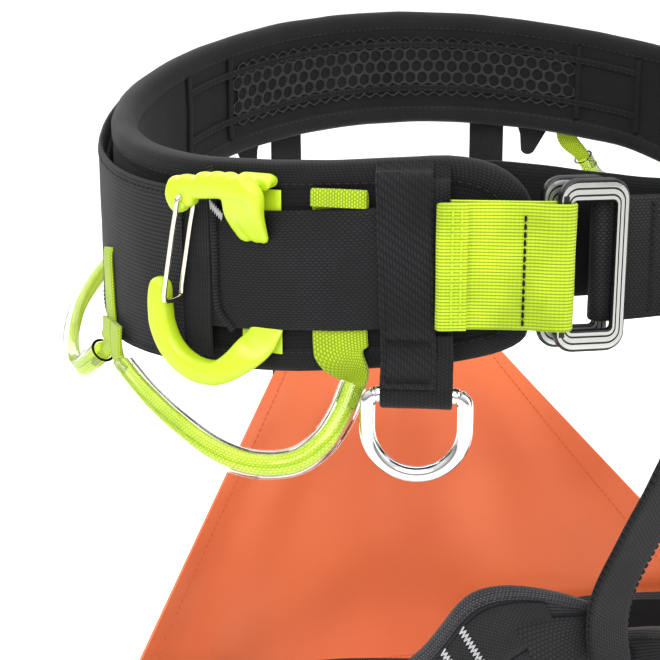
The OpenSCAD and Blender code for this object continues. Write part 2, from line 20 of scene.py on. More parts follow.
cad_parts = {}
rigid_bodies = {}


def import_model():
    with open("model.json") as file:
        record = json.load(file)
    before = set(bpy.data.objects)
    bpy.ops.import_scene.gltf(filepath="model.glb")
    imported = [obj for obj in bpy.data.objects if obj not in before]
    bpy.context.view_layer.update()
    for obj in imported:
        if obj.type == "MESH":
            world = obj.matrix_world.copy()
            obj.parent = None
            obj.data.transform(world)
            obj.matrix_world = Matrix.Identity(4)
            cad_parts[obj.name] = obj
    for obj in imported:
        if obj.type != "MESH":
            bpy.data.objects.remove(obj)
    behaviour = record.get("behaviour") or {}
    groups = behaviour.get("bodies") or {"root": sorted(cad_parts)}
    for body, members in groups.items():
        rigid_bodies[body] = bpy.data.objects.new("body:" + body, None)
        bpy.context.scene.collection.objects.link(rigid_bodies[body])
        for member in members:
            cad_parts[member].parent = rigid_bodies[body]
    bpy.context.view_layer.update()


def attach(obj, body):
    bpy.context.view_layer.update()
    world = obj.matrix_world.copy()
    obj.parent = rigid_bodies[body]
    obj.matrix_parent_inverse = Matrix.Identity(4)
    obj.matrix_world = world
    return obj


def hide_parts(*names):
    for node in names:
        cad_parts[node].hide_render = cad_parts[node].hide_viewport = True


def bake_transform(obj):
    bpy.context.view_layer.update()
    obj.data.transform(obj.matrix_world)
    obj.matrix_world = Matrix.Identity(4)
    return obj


LOG = logging.getLogger("saddle")
MM = 0.001
UP = np.array([0.0, 0.0, 1.0])


# ---------------------------------------------------------------- small maths


def vec(*values: float) -> np.ndarray:
    """A float array of the given numbers."""
    return np.array(values, float)


def unit(v: np.ndarray) -> np.ndarray:
    """The vector, or each row of it, at length 1."""
    v = np.asarray(v, float)
    return v / np.maximum(np.linalg.norm(v, axis=-1, keepdims=True), 1e-9)


def smooth(t: float) -> float:
    """An ease from 0 to 1 with level ends."""
    s = min(1.0, max(0.0, t))
    return s * s * (3 - 2 * s)


def bump(x: float, centre: float, width: float) -> float:
    """A soft bump of height 1 at centre."""
    return math.exp(-(((x - centre) / width) ** 2))


def curve(points: Sequence[Sequence[float]], step: float, loop: bool = False) -> np.ndarray:
    """A smooth line through points, cut at even distances.

    Args:
        points: The points, in millimetres.
        step: The distance between the line's points.
        loop: True for a closed line.

    Returns:
        The points of the line, one row each.
    """
    p = np.asarray(points, float)
    n = len(p)
    if loop:
        ext = np.vstack([p[-1:], p, p[:2]])
    else:
        ext = np.vstack([2 * p[:1] - p[1:2], p, 2 * p[-1:] - p[-2:-1]])
    dense = []
    for i in range(n if loop else n - 1):
        a, b, c, d = ext[i : i + 4]
        t = np.linspace(0, 1, 12, endpoint=False)[:, None]
        dense.append(
            0.5
            * (
                2 * b
                + (c - a) * t
                + (2 * a - 5 * b + 4 * c - d) * t**2
                + (3 * b - a - 3 * c + d) * t**3
            )
        )
    line = np.vstack([*dense, p[:1] if loop else p[-1:]])
    far = np.concatenate([[0], np.cumsum(np.linalg.norm(np.diff(line, axis=0), axis=1))])
    count = max(2, int(round(far[-1] / step)) + 1)
    at = np.linspace(0, far[-1], count)
    cut = np.stack([np.interp(at, far, line[:, k]) for k in range(line.shape[1])], axis=1)
    return cut[:-1] if loop else cut


def arc(cx: float, cy: float, r: float, start: float, end: float, n: int) -> list[tuple[float, float]]:
    """Points of a plane arc, from start to end degrees, in n steps."""
    angles = [math.radians(start + (end - start) * i / n) for i in range(n + 1)]
    return [(cx + r * math.cos(a), cy + r * math.sin(a)) for a in angles]


class Side(Enum):
    """The wearer's right, as the shapes are worked out, or its mirror."""

    RIGHT = 1.0
    LEFT = -1.0

    @property
    def tag(self) -> str:
        """The end of a piece's or body's name."""
        return self.name.lower()

    def place(self, points: np.ndarray) -> np.ndarray:
        """The points on this side."""
        return np.asarray(points, float) * vec(self.value, 1, 1)


@dataclass(frozen=True)
class WaistLine:
    """The line that every part of the belt follows; the same numbers as in the CAD part."""

    half_width: float = 176.0
    half_depth: float = 136.0
    rim_tilt: float = 15.0
    rim_wave: float = 11.0
    nose_angle: float = 23.5
    nose_span: float = 12.0
    nose_drop: float = 21.0
    nose_rise: float = 9.5
    mm_per_degree: float = 3.0

    def turn(self, f: float) -> float:
        """The outward direction at f degrees from the front, in radians."""
        a = math.radians(f)
        return math.atan2(math.sin(a) / self.half_width, math.cos(a) / self.half_depth)

    def plan(self, f: float, x: float, out: float) -> np.ndarray:
        """A point x to the viewer's right and out from the line, in the flat frame at f."""
        a, r = self.turn(f), math.radians(f)
        return vec(
            -self.half_width * math.sin(r) + x * math.cos(a) - out * math.sin(a),
            -self.half_depth * math.cos(r) - x * math.sin(a) - out * math.cos(a),
        )

    def at(self, f: float, out: float, z: float) -> np.ndarray:
        """A point on the belt, out from its inner face."""
        return np.append(self.plan(f, 0, out), z)

    def flat(self, f: float, x: float, out: float, z: float) -> np.ndarray:
        """A point in the flat frame at f, at the height z."""
        return np.append(self.plan(f, x, out), z)

    def outward(self, f: float) -> np.ndarray:
        """The outward direction at f."""
        a = self.turn(f)
        return vec(-math.sin(a), -math.cos(a), 0)

    def along(self, f: float) -> np.ndarray:
        """The direction to the viewer's right at f."""
        a = self.turn(f)
        return vec(math.cos(a), -math.sin(a), 0)

    def rim(self, f: float) -> float:
        """Height of the pad's top edge."""
        a = math.radians(180 - f)
        return self.rim_tilt * math.cos(a) + self.rim_wave * math.cos(2 * a)

    def pad_height(self, f: float) -> float:
        """Height of the pad from edge to edge."""
        g = min(f % 360, 360 - f % 360)
        if g < 90:
            return 75 + 11 * (g / 90) ** 2
        return 86 + (57 - 86) * smooth((g - 90) / 50)

    def middle(self, f: float) -> float:
        """Middle height of the pad."""
        return self.rim(f) - self.pad_height(f) / 2

    def stations(self, inset: float, nose: int = 9, steps: int = 150) -> list[tuple[float, float]]:
        """Places round the pad: each an angle and its share of the rounded corner's drop."""
        start = self.nose_angle + inset / self.mm_per_degree
        span = self.nose_span - inset / self.mm_per_degree
        end = self.nose_angle + self.nose_span
        corner = [math.radians(90 * i / nose) for i in range(nose)]
        front = [(start + span * (1 - math.cos(a)), 1 - math.sin(a)) for a in corner]
        middle = [(end + (360 - 2 * end) * i / steps, 0.0) for i in range(steps + 1)]
        return front + middle + [(360 - f, s) for f, s in reversed(front)]

    def edge_z(self, f: float, share: float, inset: float, top: bool) -> float:
        """Height of the pad's edge, inset from its outline."""
        if top:
            return self.rim(f) - inset - (self.nose_drop - inset / 2) * share
        return self.rim(f) - self.pad_height(f) + inset + (self.nose_rise - inset / 2) * share


WAIST = WaistLine()


# ------------------------------------------------------------------- finishes


def linear(colour: str) -> tuple[float, float, float, float]:
    """A colour for a shader.

    Args:
        colour: An sRGB colour, such as "#C3E82E".

    Returns:
        Its linear red, green and blue, and 1.
    """
    parts = [int(colour[i : i + 2], 16) / 255 for i in (1, 3, 5)]
    lin = [c / 12.92 if c <= 0.04045 else ((c + 0.055) / 1.055) ** 2.4 for c in parts]
    return (lin[0], lin[1], lin[2], 1.0)


def node(
    tree: bpy.types.NodeTree,
    kind: str,
    settings: dict | None = None,
    links: dict | None = None,
) -> bpy.types.Node:
    """Adds a node.

    Args:
        tree: The tree that it goes in.
        kind: Its type.
        settings: Its properties by name, and its inputs by name or number.
        links: For an input by name or number, the node or socket that feeds it.

    Returns:
        The node.
    """
    made = tree.nodes.new(kind)
    for key, value in (settings or {}).items():
        if isinstance(key, str) and hasattr(made, key):
            setattr(made, key, value)
        else:
            made.inputs[key].default_value = value
    for key, source in (links or {}).items():
        socket = source.outputs[0] if isinstance(source, bpy.types.Node) else source
        tree.links.new(socket, made.inputs[key])
    return made


@dataclass(frozen=True)
class Finish:
    """A surface of one real material. Subclasses say how it is made."""

    name: str
    slot: str
    colour: str
    made: ClassVar[dict[str, bpy.types.Material]] = {}

    def material(self) -> bpy.types.Material:
        """The Blender material, made once."""
        if self.name not in Finish.made:
            material = bpy.data.materials.new(self.name)
            material.use_nodes = True
            tree = material.node_tree
            tree.nodes.clear()
            shader = node(tree, "ShaderNodeBsdfPrincipled", {"Base Color": linear(self.colour)})
            node(tree, "ShaderNodeOutputMaterial", links={"Surface": shader})
            material.diffuse_color = linear(self.colour)
            self.dress(tree, shader)
            Finish.made[self.name] = material
        return Finish.made[self.name]

    def dress(self, tree: bpy.types.NodeTree, shader: bpy.types.Node) -> None:
        """Adds the surface's own nodes."""

    def patches(self, tree: bpy.types.NodeTree, size_mm: float, detail: float = 3) -> bpy.types.Node:
        """Noise over the piece, in patches of about size_mm."""
        place = node(tree, "ShaderNodeTexCoord")
        return node(
            tree,
            "ShaderNodeTexNoise",
            {"Scale": 1000 / size_mm, "Detail": detail, "Roughness": 0.55},
            {"Vector": place.outputs["Object"]},
        )


class Weave(Enum):
    """How far each thread row is shifted along from the last, as a share of one float."""

    PLAIN = 0.5
    TWILL = 0.27
    RIB = 0.0


@dataclass(frozen=True)
class Woven(Finish):
    """Polyester cloth or webbing: rows of threads that each show as a short raised float, painted lighter on
    its crest and darker between floats: painted highlight and painted shade.
    """

    # Lighter colour painted on each float's crest: a painted highlight. The base colour stays in the gaps as
    # painted shade.
    lit: str = "#4A4A4C"
    weave: Weave = Weave.PLAIN
    float_mm: float = 1.5
    row_mm: float = 1.0
    depth_mm: float = 0.16
    roughness: float = 0.62
    sheen: float = 0.04
    wear_mm: float = 26.0
    turned: bool = False

    def dress(self, tree: bpy.types.NodeTree, shader: bpy.types.Node) -> None:
        """Threads as bump, and as colour painted lighter on each crest and darker between threads (painted
        highlight and painted shade), worked out from the piece's own length and width.
        """
        shader.inputs["Roughness"].default_value = self.roughness
        shader.inputs["Sheen Weight"].default_value = self.sheen
        shader.inputs["Sheen Roughness"].default_value = 0.45
        shader.inputs["Specular IOR Level"].default_value = 0.13
        place = node(tree, "ShaderNodeTexCoord")
        scale = (1000 / self.float_mm, 1000 / self.row_mm, 0)
        if self.turned:
            scale = (1000 / self.row_mm, 1000 / self.float_mm, 0)
        counted = node(
            tree,
            "ShaderNodeVectorMath",
            {"operation": "MULTIPLY", 1: scale},
            {0: place.outputs["UV"]},
        )
        split = node(tree, "ShaderNodeSeparateXYZ", links={0: counted})
        run, row = (1, 0) if self.turned else (0, 1)
        whole = node(tree, "ShaderNodeMath", {"operation": "FLOOR"}, {0: split.outputs[row]})
        moved = node(
            tree,
            "ShaderNodeMath",
            {"operation": "MULTIPLY_ADD", 1: self.weave.value},
            {0: whole, 2: split.outputs[run]},
        )
        humps = []
        for source in (moved, split.outputs[row]):
            part = node(tree, "ShaderNodeMath", {"operation": "FRACT"}, {0: source})
            turn = node(tree, "ShaderNodeMath", {"operation": "MULTIPLY", 1: math.pi}, {0: part})
            humps.append(node(tree, "ShaderNodeMath", {"operation": "SINE"}, {0: turn}))
        if self.weave is Weave.RIB:
            flatter = node(
                tree, "ShaderNodeMath", {"operation": "MULTIPLY_ADD", 1: 0.25, 2: 0.75}, {0: humps[0]}
            )
            humps[0] = flatter
        thread = node(tree, "ShaderNodeMath", {"operation": "MULTIPLY"}, {0: humps[0], 1: humps[1]})
        uneven = self.patches(tree, self.wear_mm)
        shade = node(
            tree,
            "ShaderNodeMapRange",
            {"From Min": 0.3, "From Max": 0.7, "To Min": 0.55, "To Max": 1.15},
            {"Value": uneven.outputs[0]},
        )
        # Share of the lighter crest colour: painted highlight where the thread stands high, painted shade in
        # the gaps; random patches make the painted highlight stronger or weaker.
        share = node(
            tree, "ShaderNodeMath", {"operation": "MULTIPLY", "use_clamp": True}, {0: thread, 1: shade}
        )
        colour = node(
            tree,
            "ShaderNodeMix",
            {"data_type": "RGBA", 6: linear(self.colour), 7: linear(self.lit)},
            {0: share},
        )
        relief = node(
            tree,
            "ShaderNodeBump",
            {"Strength": 0.75, "Distance": self.depth_mm * MM},
            {"Height": thread},
        )
        tree.links.new(colour.outputs[2], shader.inputs["Base Color"])
        tree.links.new(relief.outputs[0], shader.inputs["Normal"])


@dataclass(frozen=True)
class CoatedCloth(Finish):
    """PVC-coated polyester: a smooth sheet, with the base cloth's grain just showing."""

    shade: str = "#C9532A"
    grain_mm: float = 0.9

    def dress(self, tree: bpy.types.NodeTree, shader: bpy.types.Node) -> None:
        """A little uneven colour, and a fine grain under a soft gloss."""
        shader.inputs["Roughness"].default_value = 0.46
        shader.inputs["Specular IOR Level"].default_value = 0.4
        shader.inputs["Coat Weight"].default_value = 0.08
        shader.inputs["Coat Roughness"].default_value = 0.35
        cloud = self.patches(tree, 90, 2)
        share = node(
            tree,
            "ShaderNodeMapRange",
            {"From Min": 0.35, "From Max": 0.75, "To Min": 0.0, "To Max": 0.45},
            {"Value": cloud.outputs[0]},
        )
        colour = node(
            tree,
            "ShaderNodeMix",
            {"data_type": "RGBA", 6: linear(self.colour), 7: linear(self.shade)},
            {0: share},
        )
        grain = self.patches(tree, self.grain_mm, 1)
        folds = self.patches(tree, 14, 2)
        both = node(
            tree,
            "ShaderNodeMath",
            {"operation": "MULTIPLY_ADD", 1: 3.0},
            {0: folds.outputs[0], 2: grain.outputs[0]},
        )
        relief = node(
            tree, "ShaderNodeBump", {"Strength": 0.18, "Distance": 0.1 * MM}, {"Height": both}
        )
        tree.links.new(colour.outputs[2], shader.inputs["Base Color"])
        tree.links.new(relief.outputs[0], shader.inputs["Normal"])


@dataclass(frozen=True)
class Metal(Finish):
    """Solid metal. Grit is the size of the marks left by blasting or polishing."""

    roughness: float = 0.3
    spread: float = 0.06
    grit_mm: float = 0.4
    depth_mm: float = 0.004
    metallic: float = 1.0

    def dress(self, tree: bpy.types.NodeTree, shader: bpy.types.Node) -> None:
        """Roughness that varies, with fine marks in the surface."""
        shader.inputs["Metallic"].default_value = self.metallic
        rubbed = self.patches(tree, 9, 4)
        rough = node(
            tree,
            "ShaderNodeMapRange",
            {
                "From Min": 0.3,
                "From Max": 0.7,
                "To Min": max(0.02, self.roughness - self.spread),
                "To Max": self.roughness + self.spread,
            },
            {"Value": rubbed.outputs[0]},
        )
        marks = self.patches(tree, self.grit_mm, 2)
        relief = node(
            tree,
            "ShaderNodeBump",
            {"Strength": 0.5, "Distance": self.depth_mm * MM},
            {"Height": marks.outputs[0]},
        )
        tree.links.new(rough.outputs[0], shader.inputs["Roughness"])
        tree.links.new(relief.outputs[0], shader.inputs["Normal"])


@dataclass(frozen=True)
class MouldedNylon(Finish):
    """Glass-filled nylon, moulded in a spark-eroded tool: an even, fine grain and a soft gloss."""

    worn: str = "#B4D83A"
    grain_mm: float = 0.35

    def dress(self, tree: bpy.types.NodeTree, shader: bpy.types.Node) -> None:
        """Fine grain, slight light scatter, and faintly paler rubbed places."""
        shader.inputs["Roughness"].default_value = 0.38
        shader.inputs["Subsurface Weight"].default_value = 0.12
        shader.inputs["Subsurface Radius"].default_value = (0.002, 0.003, 0.0005)
        shader.inputs["Subsurface Scale"].default_value = 0.6
        rubbed = self.patches(tree, 8, 3)
        share = node(
            tree,
            "ShaderNodeMapRange",
            {"From Min": 0.5, "From Max": 0.75, "To Min": 0.0, "To Max": 0.6},
            {"Value": rubbed.outputs[0]},
        )
        colour = node(
            tree,
            "ShaderNodeMix",
            {"data_type": "RGBA", 6: linear(self.colour), 7: linear(self.worn)},
            {0: share},
        )
        grain = self.patches(tree, self.grain_mm, 1)
        relief = node(
            tree, "ShaderNodeBump", {"Strength": 0.25, "Distance": 0.02 * MM}, {"Height": grain.outputs[0]}
        )
        tree.links.new(colour.outputs[2], shader.inputs["Base Color"])
        tree.links.new(relief.outputs[0], shader.inputs["Normal"])


@dataclass(frozen=True)
class ClearTube(Finish):
    """Extruded soft PVC: clear, faintly yellow, and slightly wavy from the die."""

    def dress(self, tree: bpy.types.NodeTree, shader: bpy.types.Node) -> None:
        """A clear body with a few slow waves in its surface."""
        shader.inputs["Roughness"].default_value = 0.03
        shader.inputs["IOR"].default_value = 1.32
        shader.inputs["Transmission Weight"].default_value = 1.0
        waves = self.patches(tree, 6, 2)
        relief = node(
            tree, "ShaderNodeBump", {"Strength": 0.1, "Distance": 0.04 * MM}, {"Height": waves.outputs[0]}
        )
        tree.links.new(relief.outputs[0], shader.inputs["Normal"])


# Black 45 mm polyester webbing, heavy weave: long dull threads, with a painted grey highlight on top of each
WEBBING = Woven("black_webbing", "webbing_black", "#09090A", "#272729", Weave.PLAIN, 1.7, 1.05, 0.2)
# The waist webbing is calendered, so its floats shine more
SMOOTH_WEBBING = Woven(
    "waist_webbing_weave", "webbing_black", "#09090A", "#222225", Weave.PLAIN, 2.2, 1.0, 0.16, 0.48
)
# Wide elastic band, rows of small knots
BAND_CLOTH = Woven("band_cloth", "webbing_black", "#0B0B0C", "#2E2E31", Weave.PLAIN, 1.15, 1.15, 0.18, 0.7)
# Grosgrain strap for the side ring, ribs across it
STRAP_WEBBING = Woven(
    "ring_strap_weave", "webbing_black", "#070708", "#1A1A1D", Weave.PLAIN, 1.3, 1.5, 0.2, 0.55
)
# Diagonal twill tape
TAPE = Woven("twill_tape_weave", "twill_tape", "#09090A", "#222225", Weave.TWILL, 3.2, 1.1, 0.2, 0.6)
BINDING = Woven("edge_tape", "binding", "#0B0B0C", "#222224", Weave.TWILL, 1.5, 1.1, 0.12, 0.68)
LEG_TAPE = Woven("leg_edge_tape", "binding", "#0E0E0F", "#4E4E52", Weave.PLAIN, 1.5, 1.2, 0.2, 0.6)
PAD_FACE = Woven("pad_face_cloth", "pad_fabric", "#09090A", "#1A1A1C", Weave.PLAIN, 1.1, 1.1, 0.12, 0.72)
LINING = Woven("pad_lining_knit", "pad_lining", "#0D0D0E", "#1E1E20", Weave.PLAIN, 1.2, 0.9, 0.14, 0.8)
RIBBED = Woven(
    "ribbed_cloth", "webbing_black", "#0A0A0B", "#29292B", Weave.RIB, 3.0, 1.3, 0.3, 0.8, turned=True
)
# Lime webbing, an open basket weave: painted shade darkens the gaps and a painted highlight lightens the
# crests
LIME = Woven(
    "lime_webbing", "webbing_lime", "#66800C", "#C0D82B", Weave.RIB, 1.5, 1.2, 0.3, 0.55, 0.15, turned=False
)
LIME_TAPE = Woven(
    "lime_tape", "webbing_lime", "#6C860F", "#BDD52B", Weave.PLAIN, 1.3, 1.0, 0.22, 0.55, 0.15
)
BLACK_THREAD = Woven("black_thread", "webbing_black", "#070708", "#1C1C1E", Weave.TWILL, 0.8, 0.4, 0.05)
SOFT_THREAD = Woven("dull_thread", "binding", "#161617", "#363639", Weave.TWILL, 0.8, 0.4, 0.05)
GREY_THREAD = Woven("light_thread", "webbing_black", "#8E8E90", "#D6D6D8", Weave.TWILL, 0.8, 0.4, 0.05)
ORANGE_THREAD = Woven("orange_thread", "panel_fabric", "#C9562A", "#EC8152", Weave.TWILL, 0.8, 0.4, 0.05)
LEG_CLOTH = Woven("leg_cloth", "pad_fabric", "#09090A", "#2E2E31", Weave.RIB, 2.4, 1.5, 0.25, 0.68)
LIME_THREAD = Woven("lime_thread", "webbing_lime", "#93B51C", "#C9E93A", Weave.TWILL, 0.8, 0.4, 0.05)
# Hexagon mesh: rubber-like print on knit, painted palest where it stands out: a painted highlight
MESH_RIB = Woven("mesh_rib", "mesh", "#161617", "#3A3A3C", Weave.PLAIN, 0.9, 0.7, 0.05, 0.6, 0.1, 16.0)
# Lime webbing inside the clear tubes, painted much paler than the lime tape: painted light standing in for
# the light that the tube walls keep off it.
LOOP_TAPE_PAINTED_LIGHT = Woven("loop_tape", "webbing_lime", "#A9C823", "#EBFF58", Weave.PLAIN, 1.6, 1.0, 0.2, 0.55)
PANEL = CoatedCloth("coated_panel", "panel_fabric", "#EA7443")
# Die-cast and anodised black, then the faces milled back to bright satin metal
FACE_ALLOY = Metal("milled_alloy_face", "buckle_alloy", "#B2B2AE", 0.42, 0.07, 0.3)
DARK_ALLOY = Metal("black_anodised_alloy", "buckle_alloy", "#2B2B2D", 0.3, 0.06, 0.3, metallic=0.85)
RING_ALLOY = Metal("grey_anodised_ring", "ring_alloy", "#58585B", 0.28, 0.08, 0.3)
STEEL = Metal("polished_steel", "ring_steel", "#DADADC", 0.07, 0.03, 1.2, 0.002)
WIRE = Metal("drawn_wire", "gate_wire", "#D9D3C0", 0.16, 0.05, 0.6, 0.003)
NYLON = MouldedNylon("lime_nylon", "holder_plastic", "#B5D01C")
TUBE = ClearTube("clear_pvc_tube", "clear_tube", "#FBFDF2")


# ---------------------------------------------------------------- mesh makers


def lofted(
    name: str,
    rings: np.ndarray,
    finishes: Sequence[Finish],
    loop: bool = False,
    finish_of: Callable[[int], int] | None = None,
    sharp: float = 45.0,
) -> bpy.types.Object:
    """A solid through rings of points, each a closed cross-section.

    Args:
        name: The piece's name.
        rings: Points in millimetres: rings, points of a ring, coordinates.
        finishes: The materials that the faces use.
        loop: True if the last ring joins the first.
        finish_of: Gives the number of the finish for a place on the cross-section.
        sharp: Edges that turn by more than this angle stay sharp.

    Returns:
        The object. Its UV map is in metres: along the rings, and round the section.
    """
    rings = np.asarray(rings, float)
    n, k = rings.shape[:2]
    points = rings.reshape(-1, 3) * MM
    spans = n if loop else n - 1
    centres = rings.mean(axis=1)
    steps = np.linalg.norm(np.roll(centres, -1, axis=0) - centres, axis=1)
    run = np.concatenate([[0], np.cumsum(steps)]) * MM
    middle = rings[n // 2]
    round_steps = np.linalg.norm(np.roll(middle, -1, axis=0) - middle, axis=1)
    across = np.concatenate([[0], np.cumsum(round_steps)]) * MM
    faces, uvs, kinds = [], [], []
    for i in range(spans):
        b = ((i + 1) % n) * k
        for j in range(k):
            m = (j + 1) % k
            faces.append((i * k + j, i * k + m, b + m, b + j))
            uvs += [
                (run[i], across[j]),
                (run[i], across[j + 1]),
                (run[i + 1], across[j + 1]),
                (run[i + 1], across[j]),
            ]
            kinds.append(finish_of(j) if finish_of else 0)
    if not loop:
        for ring in (0, n - 1):
            order = list(range(k)) if ring else list(range(k - 1, -1, -1))
            faces.append(tuple(ring * k + j for j in order))
            uvs += [(run[ring] + 0.0005, across[j]) for j in order]
            kinds.append(kinds[-1] if finish_of else 0)
    mesh = bpy.data.meshes.new(name)
    mesh.from_pydata(points.tolist(), [], faces)
    layer = mesh.uv_layers.new(name="UVMap")
    layer.data.foreach_set("uv", np.asarray(uvs, np.float32).ravel())
    for finish in finishes:
        mesh.materials.append(finish.material())
    mesh.polygons.foreach_set("material_index", kinds)
    shape = bmesh.new()
    shape.from_mesh(mesh)
    bmesh.ops.recalc_face_normals(shape, faces=shape.faces)
    shape.to_mesh(mesh)
    shape.free()
    mesh.shade_smooth()
    mesh.set_sharp_from_angle(angle=math.radians(sharp))
    piece = bpy.data.objects.new(name, mesh)
    bpy.context.scene.collection.objects.link(piece)
    return piece


def flat_section(
    width: float, thick: float, count: int = 9, crown: float = 0.0
) -> list[tuple[float, float]]:
    """The cross-section of webbing: flat, with round edges.

    Args:
        width: Its width.
        thick: Its thickness.
        count: How many points there are on each face.
        crown: How far the outer face stands up in the middle.

    Returns:
        Points (across, out), once round.
    """
    r = thick / 2
    edge = width / 2 - r * 0.9
    line = [edge * (2 * i / (count - 1) - 1) for i in range(count)]
    lower = [(a, -r) for a in line]
    upper = [(a, r + crown * (1 - (a / edge) ** 2)) for a in reversed(line)]
    right = [(edge + r * 0.75, -r * 0.6), (edge + r, 0.0), (edge + r * 0.75, r * 0.6)]
    left = [(-a, -b) for a, b in right]
    return lower + right + upper + left


def frames(path: np.ndarray, side: np.ndarray, loop: bool = False) -> tuple[np.ndarray, np.ndarray]:
    """Directions across and out for each point of a path.

    Args:
        path: The points.
        side: The wanted direction across: one, or one for each point.
        loop: True for a closed path.

    Returns:
        Unit directions across and out.
    """
    if loop:
        forward = np.roll(path, -1, axis=0) - np.roll(path, 1, axis=0)
    else:
        forward = np.gradient(path, axis=0)
    forward = unit(forward)
    side = np.broadcast_to(np.asarray(side, float), path.shape)
    across = unit(side - forward * np.sum(side * forward, axis=1, keepdims=True))
    return across, np.cross(forward, across)


def swept(
    path: np.ndarray,
    side: np.ndarray,
    section: Sequence[tuple[float, float]],
    loop: bool = False,
    size: np.ndarray | None = None,
) -> np.ndarray:
    """Rings of a cross-section carried along a path.

    Args:
        path: The points of the path.
        side: The direction across: one, or one for each point.
        section: Points (across, out).
        loop: True for a closed path.
        size: For each point, how much wider and thicker the section is.

    Returns:
        The rings.
    """
    across, out = frames(path, side, loop)
    shape = np.asarray(section, float)
    grow = np.ones((len(path), 2)) if size is None else np.asarray(size, float)
    a = shape[None, :, 0, None] * grow[:, None, 0, None] * across[:, None, :]
    b = shape[None, :, 1, None] * grow[:, None, 1, None] * out[:, None, :]
    return path[:, None, :] + a + b


def round_section(r: float, n: int = 16, flat: float = 1.0) -> list[tuple[float, float]]:
    """A round or oval cross-section."""
    return [
        (r * math.cos(2 * math.pi * i / n), r * flat * math.sin(2 * math.pi * i / n)) for i in range(n)
    ]


def settle(rings: np.ndarray, depth: float, scale: float = 17.0) -> np.ndarray:
    """Moves soft pieces a little, so that no edge is dead straight.

    Pieces that touch move together, because the shift depends only on the place.
    """
    out = np.array(rings, float)
    flat = out.reshape(-1, 3)
    for row in flat:
        row += depth * np.array(noise.noise_vector(Vector(row / scale)))
    return out


def stitched(
    name: str,
    path: np.ndarray,
    out: np.ndarray,
    finish: Finish,
    pitch: float = 3.2,
    length: float = 2.3,
    radius: float = 0.32,
) -> bpy.types.Object:
    """A line of stitches, each a short thread that dips at both ends.

    Args:
        name: The piece's name.
        path: The line on the cloth's surface.
        out: The direction away from the cloth: one, or one for each point.
        finish: The thread.
        pitch: Distance from stitch to stitch.
        length: Length of a stitch.
        radius: Radius of the thread.

    Returns:
        The object.
    """
    path = np.asarray(path, float)
    far = np.concatenate([[0], np.cumsum(np.linalg.norm(np.diff(path, axis=0), axis=1))])
    out = np.broadcast_to(np.asarray(out, float), path.shape)
    count = max(1, int(far[-1] // pitch))
    shares = [(-0.5, -0.6, 0.35), (-0.3, 0.2, 1.0), (0.0, 0.45, 1.05), (0.3, 0.2, 1.0), (0.5, -0.6, 0.35)]
    points, faces, uvs = [], [], []
    sides = 6
    for i in range(count):
        base = len(points)
        for share, lift, thick in shares:
            s = (i + 0.5) * pitch + share * length
            here = vec(*(np.interp(s, far, path[:, k]) for k in range(3)))
            ahead = vec(*(np.interp(s + 0.5, far, path[:, k]) for k in range(3)))
            behind = vec(*(np.interp(s - 0.5, far, path[:, k]) for k in range(3)))
            up = unit(vec(*(np.interp(s, far, out[:, k]) for k in range(3))))
            across = unit(np.cross(ahead - behind, up))
            for j in range(sides):
                a = 2 * math.pi * j / sides
                points.append(
                    here + (lift * radius + thick * radius * math.sin(a)) * up
                    + thick * radius * math.cos(a) * across
                )
        for ring in range(len(shares) - 1):
            for j in range(sides):
                m = (j + 1) % sides
                a, b = base + ring * sides, base + (ring + 1) * sides
                faces.append((a + j, a + m, b + m, b + j))
                u, v = 0.0006, j * 0.0003
                uvs += [(0, v), (0, v + 0.0003), (u, v + 0.0003), (u, v)]
        faces.append(tuple(base + j for j in range(sides - 1, -1, -1)))
        faces.append(tuple(base + (len(shares) - 1) * sides + j for j in range(sides)))
        uvs += [(0, 0)] * (2 * sides)
    mesh = bpy.data.meshes.new(name)
    mesh.from_pydata((np.asarray(points) * MM).tolist(), [], faces)
    layer = mesh.uv_layers.new(name="UVMap")
    layer.data.foreach_set("uv", np.asarray(uvs, np.float32).ravel())
    mesh.materials.append(finish.material())
    shape = bmesh.new()
    shape.from_mesh(mesh)
    bmesh.ops.recalc_face_normals(shape, faces=shape.faces)
    shape.to_mesh(mesh)
    shape.free()
    mesh.shade_smooth()
    piece = bpy.data.objects.new(name, mesh)
    bpy.context.scene.collection.objects.link(piece)
    return piece


def tacked(
    name: str,
    corner: np.ndarray,
    along: np.ndarray,
    across: np.ndarray,
    turns: int,
    finish: Finish,
    radius: float = 0.4,
) -> bpy.types.Object:
    """A bar tack: thread that runs to and fro.

    Args:
        name: The piece's name.
        corner: Where it starts, on the cloth's surface.
        along: The whole way that it advances.
        across: The length of one stroke.
        turns: How many strokes there are.
        finish: The thread.
        radius: Radius of the thread.

    Returns:
        The object.
    """
    corner, along, across = (np.asarray(v, float) for v in (corner, along, across))
    up = unit(np.cross(along, across))
    line = [
        corner + along * i / turns + (across if i % 2 else 0) + up * radius * 0.6 for i in range(turns + 1)
    ]
    dense = np.vstack([np.linspace(a, b, 4, endpoint=False) for a, b in zip(line, line[1:])] + [line[-1:]])
    return lofted(name, swept(dense, up, round_section(radius, 6)), [finish])


def bead(
    name: str, path: np.ndarray, radius: float, finish: Finish, loop: bool = False
) -> bpy.types.Object:
    """A round cord, hem or wire along a path."""
    path = np.asarray(path, float)
    return lofted(name, swept(path, vec(0.02, 0.03, 1), round_section(radius, 10), loop), [finish], loop)


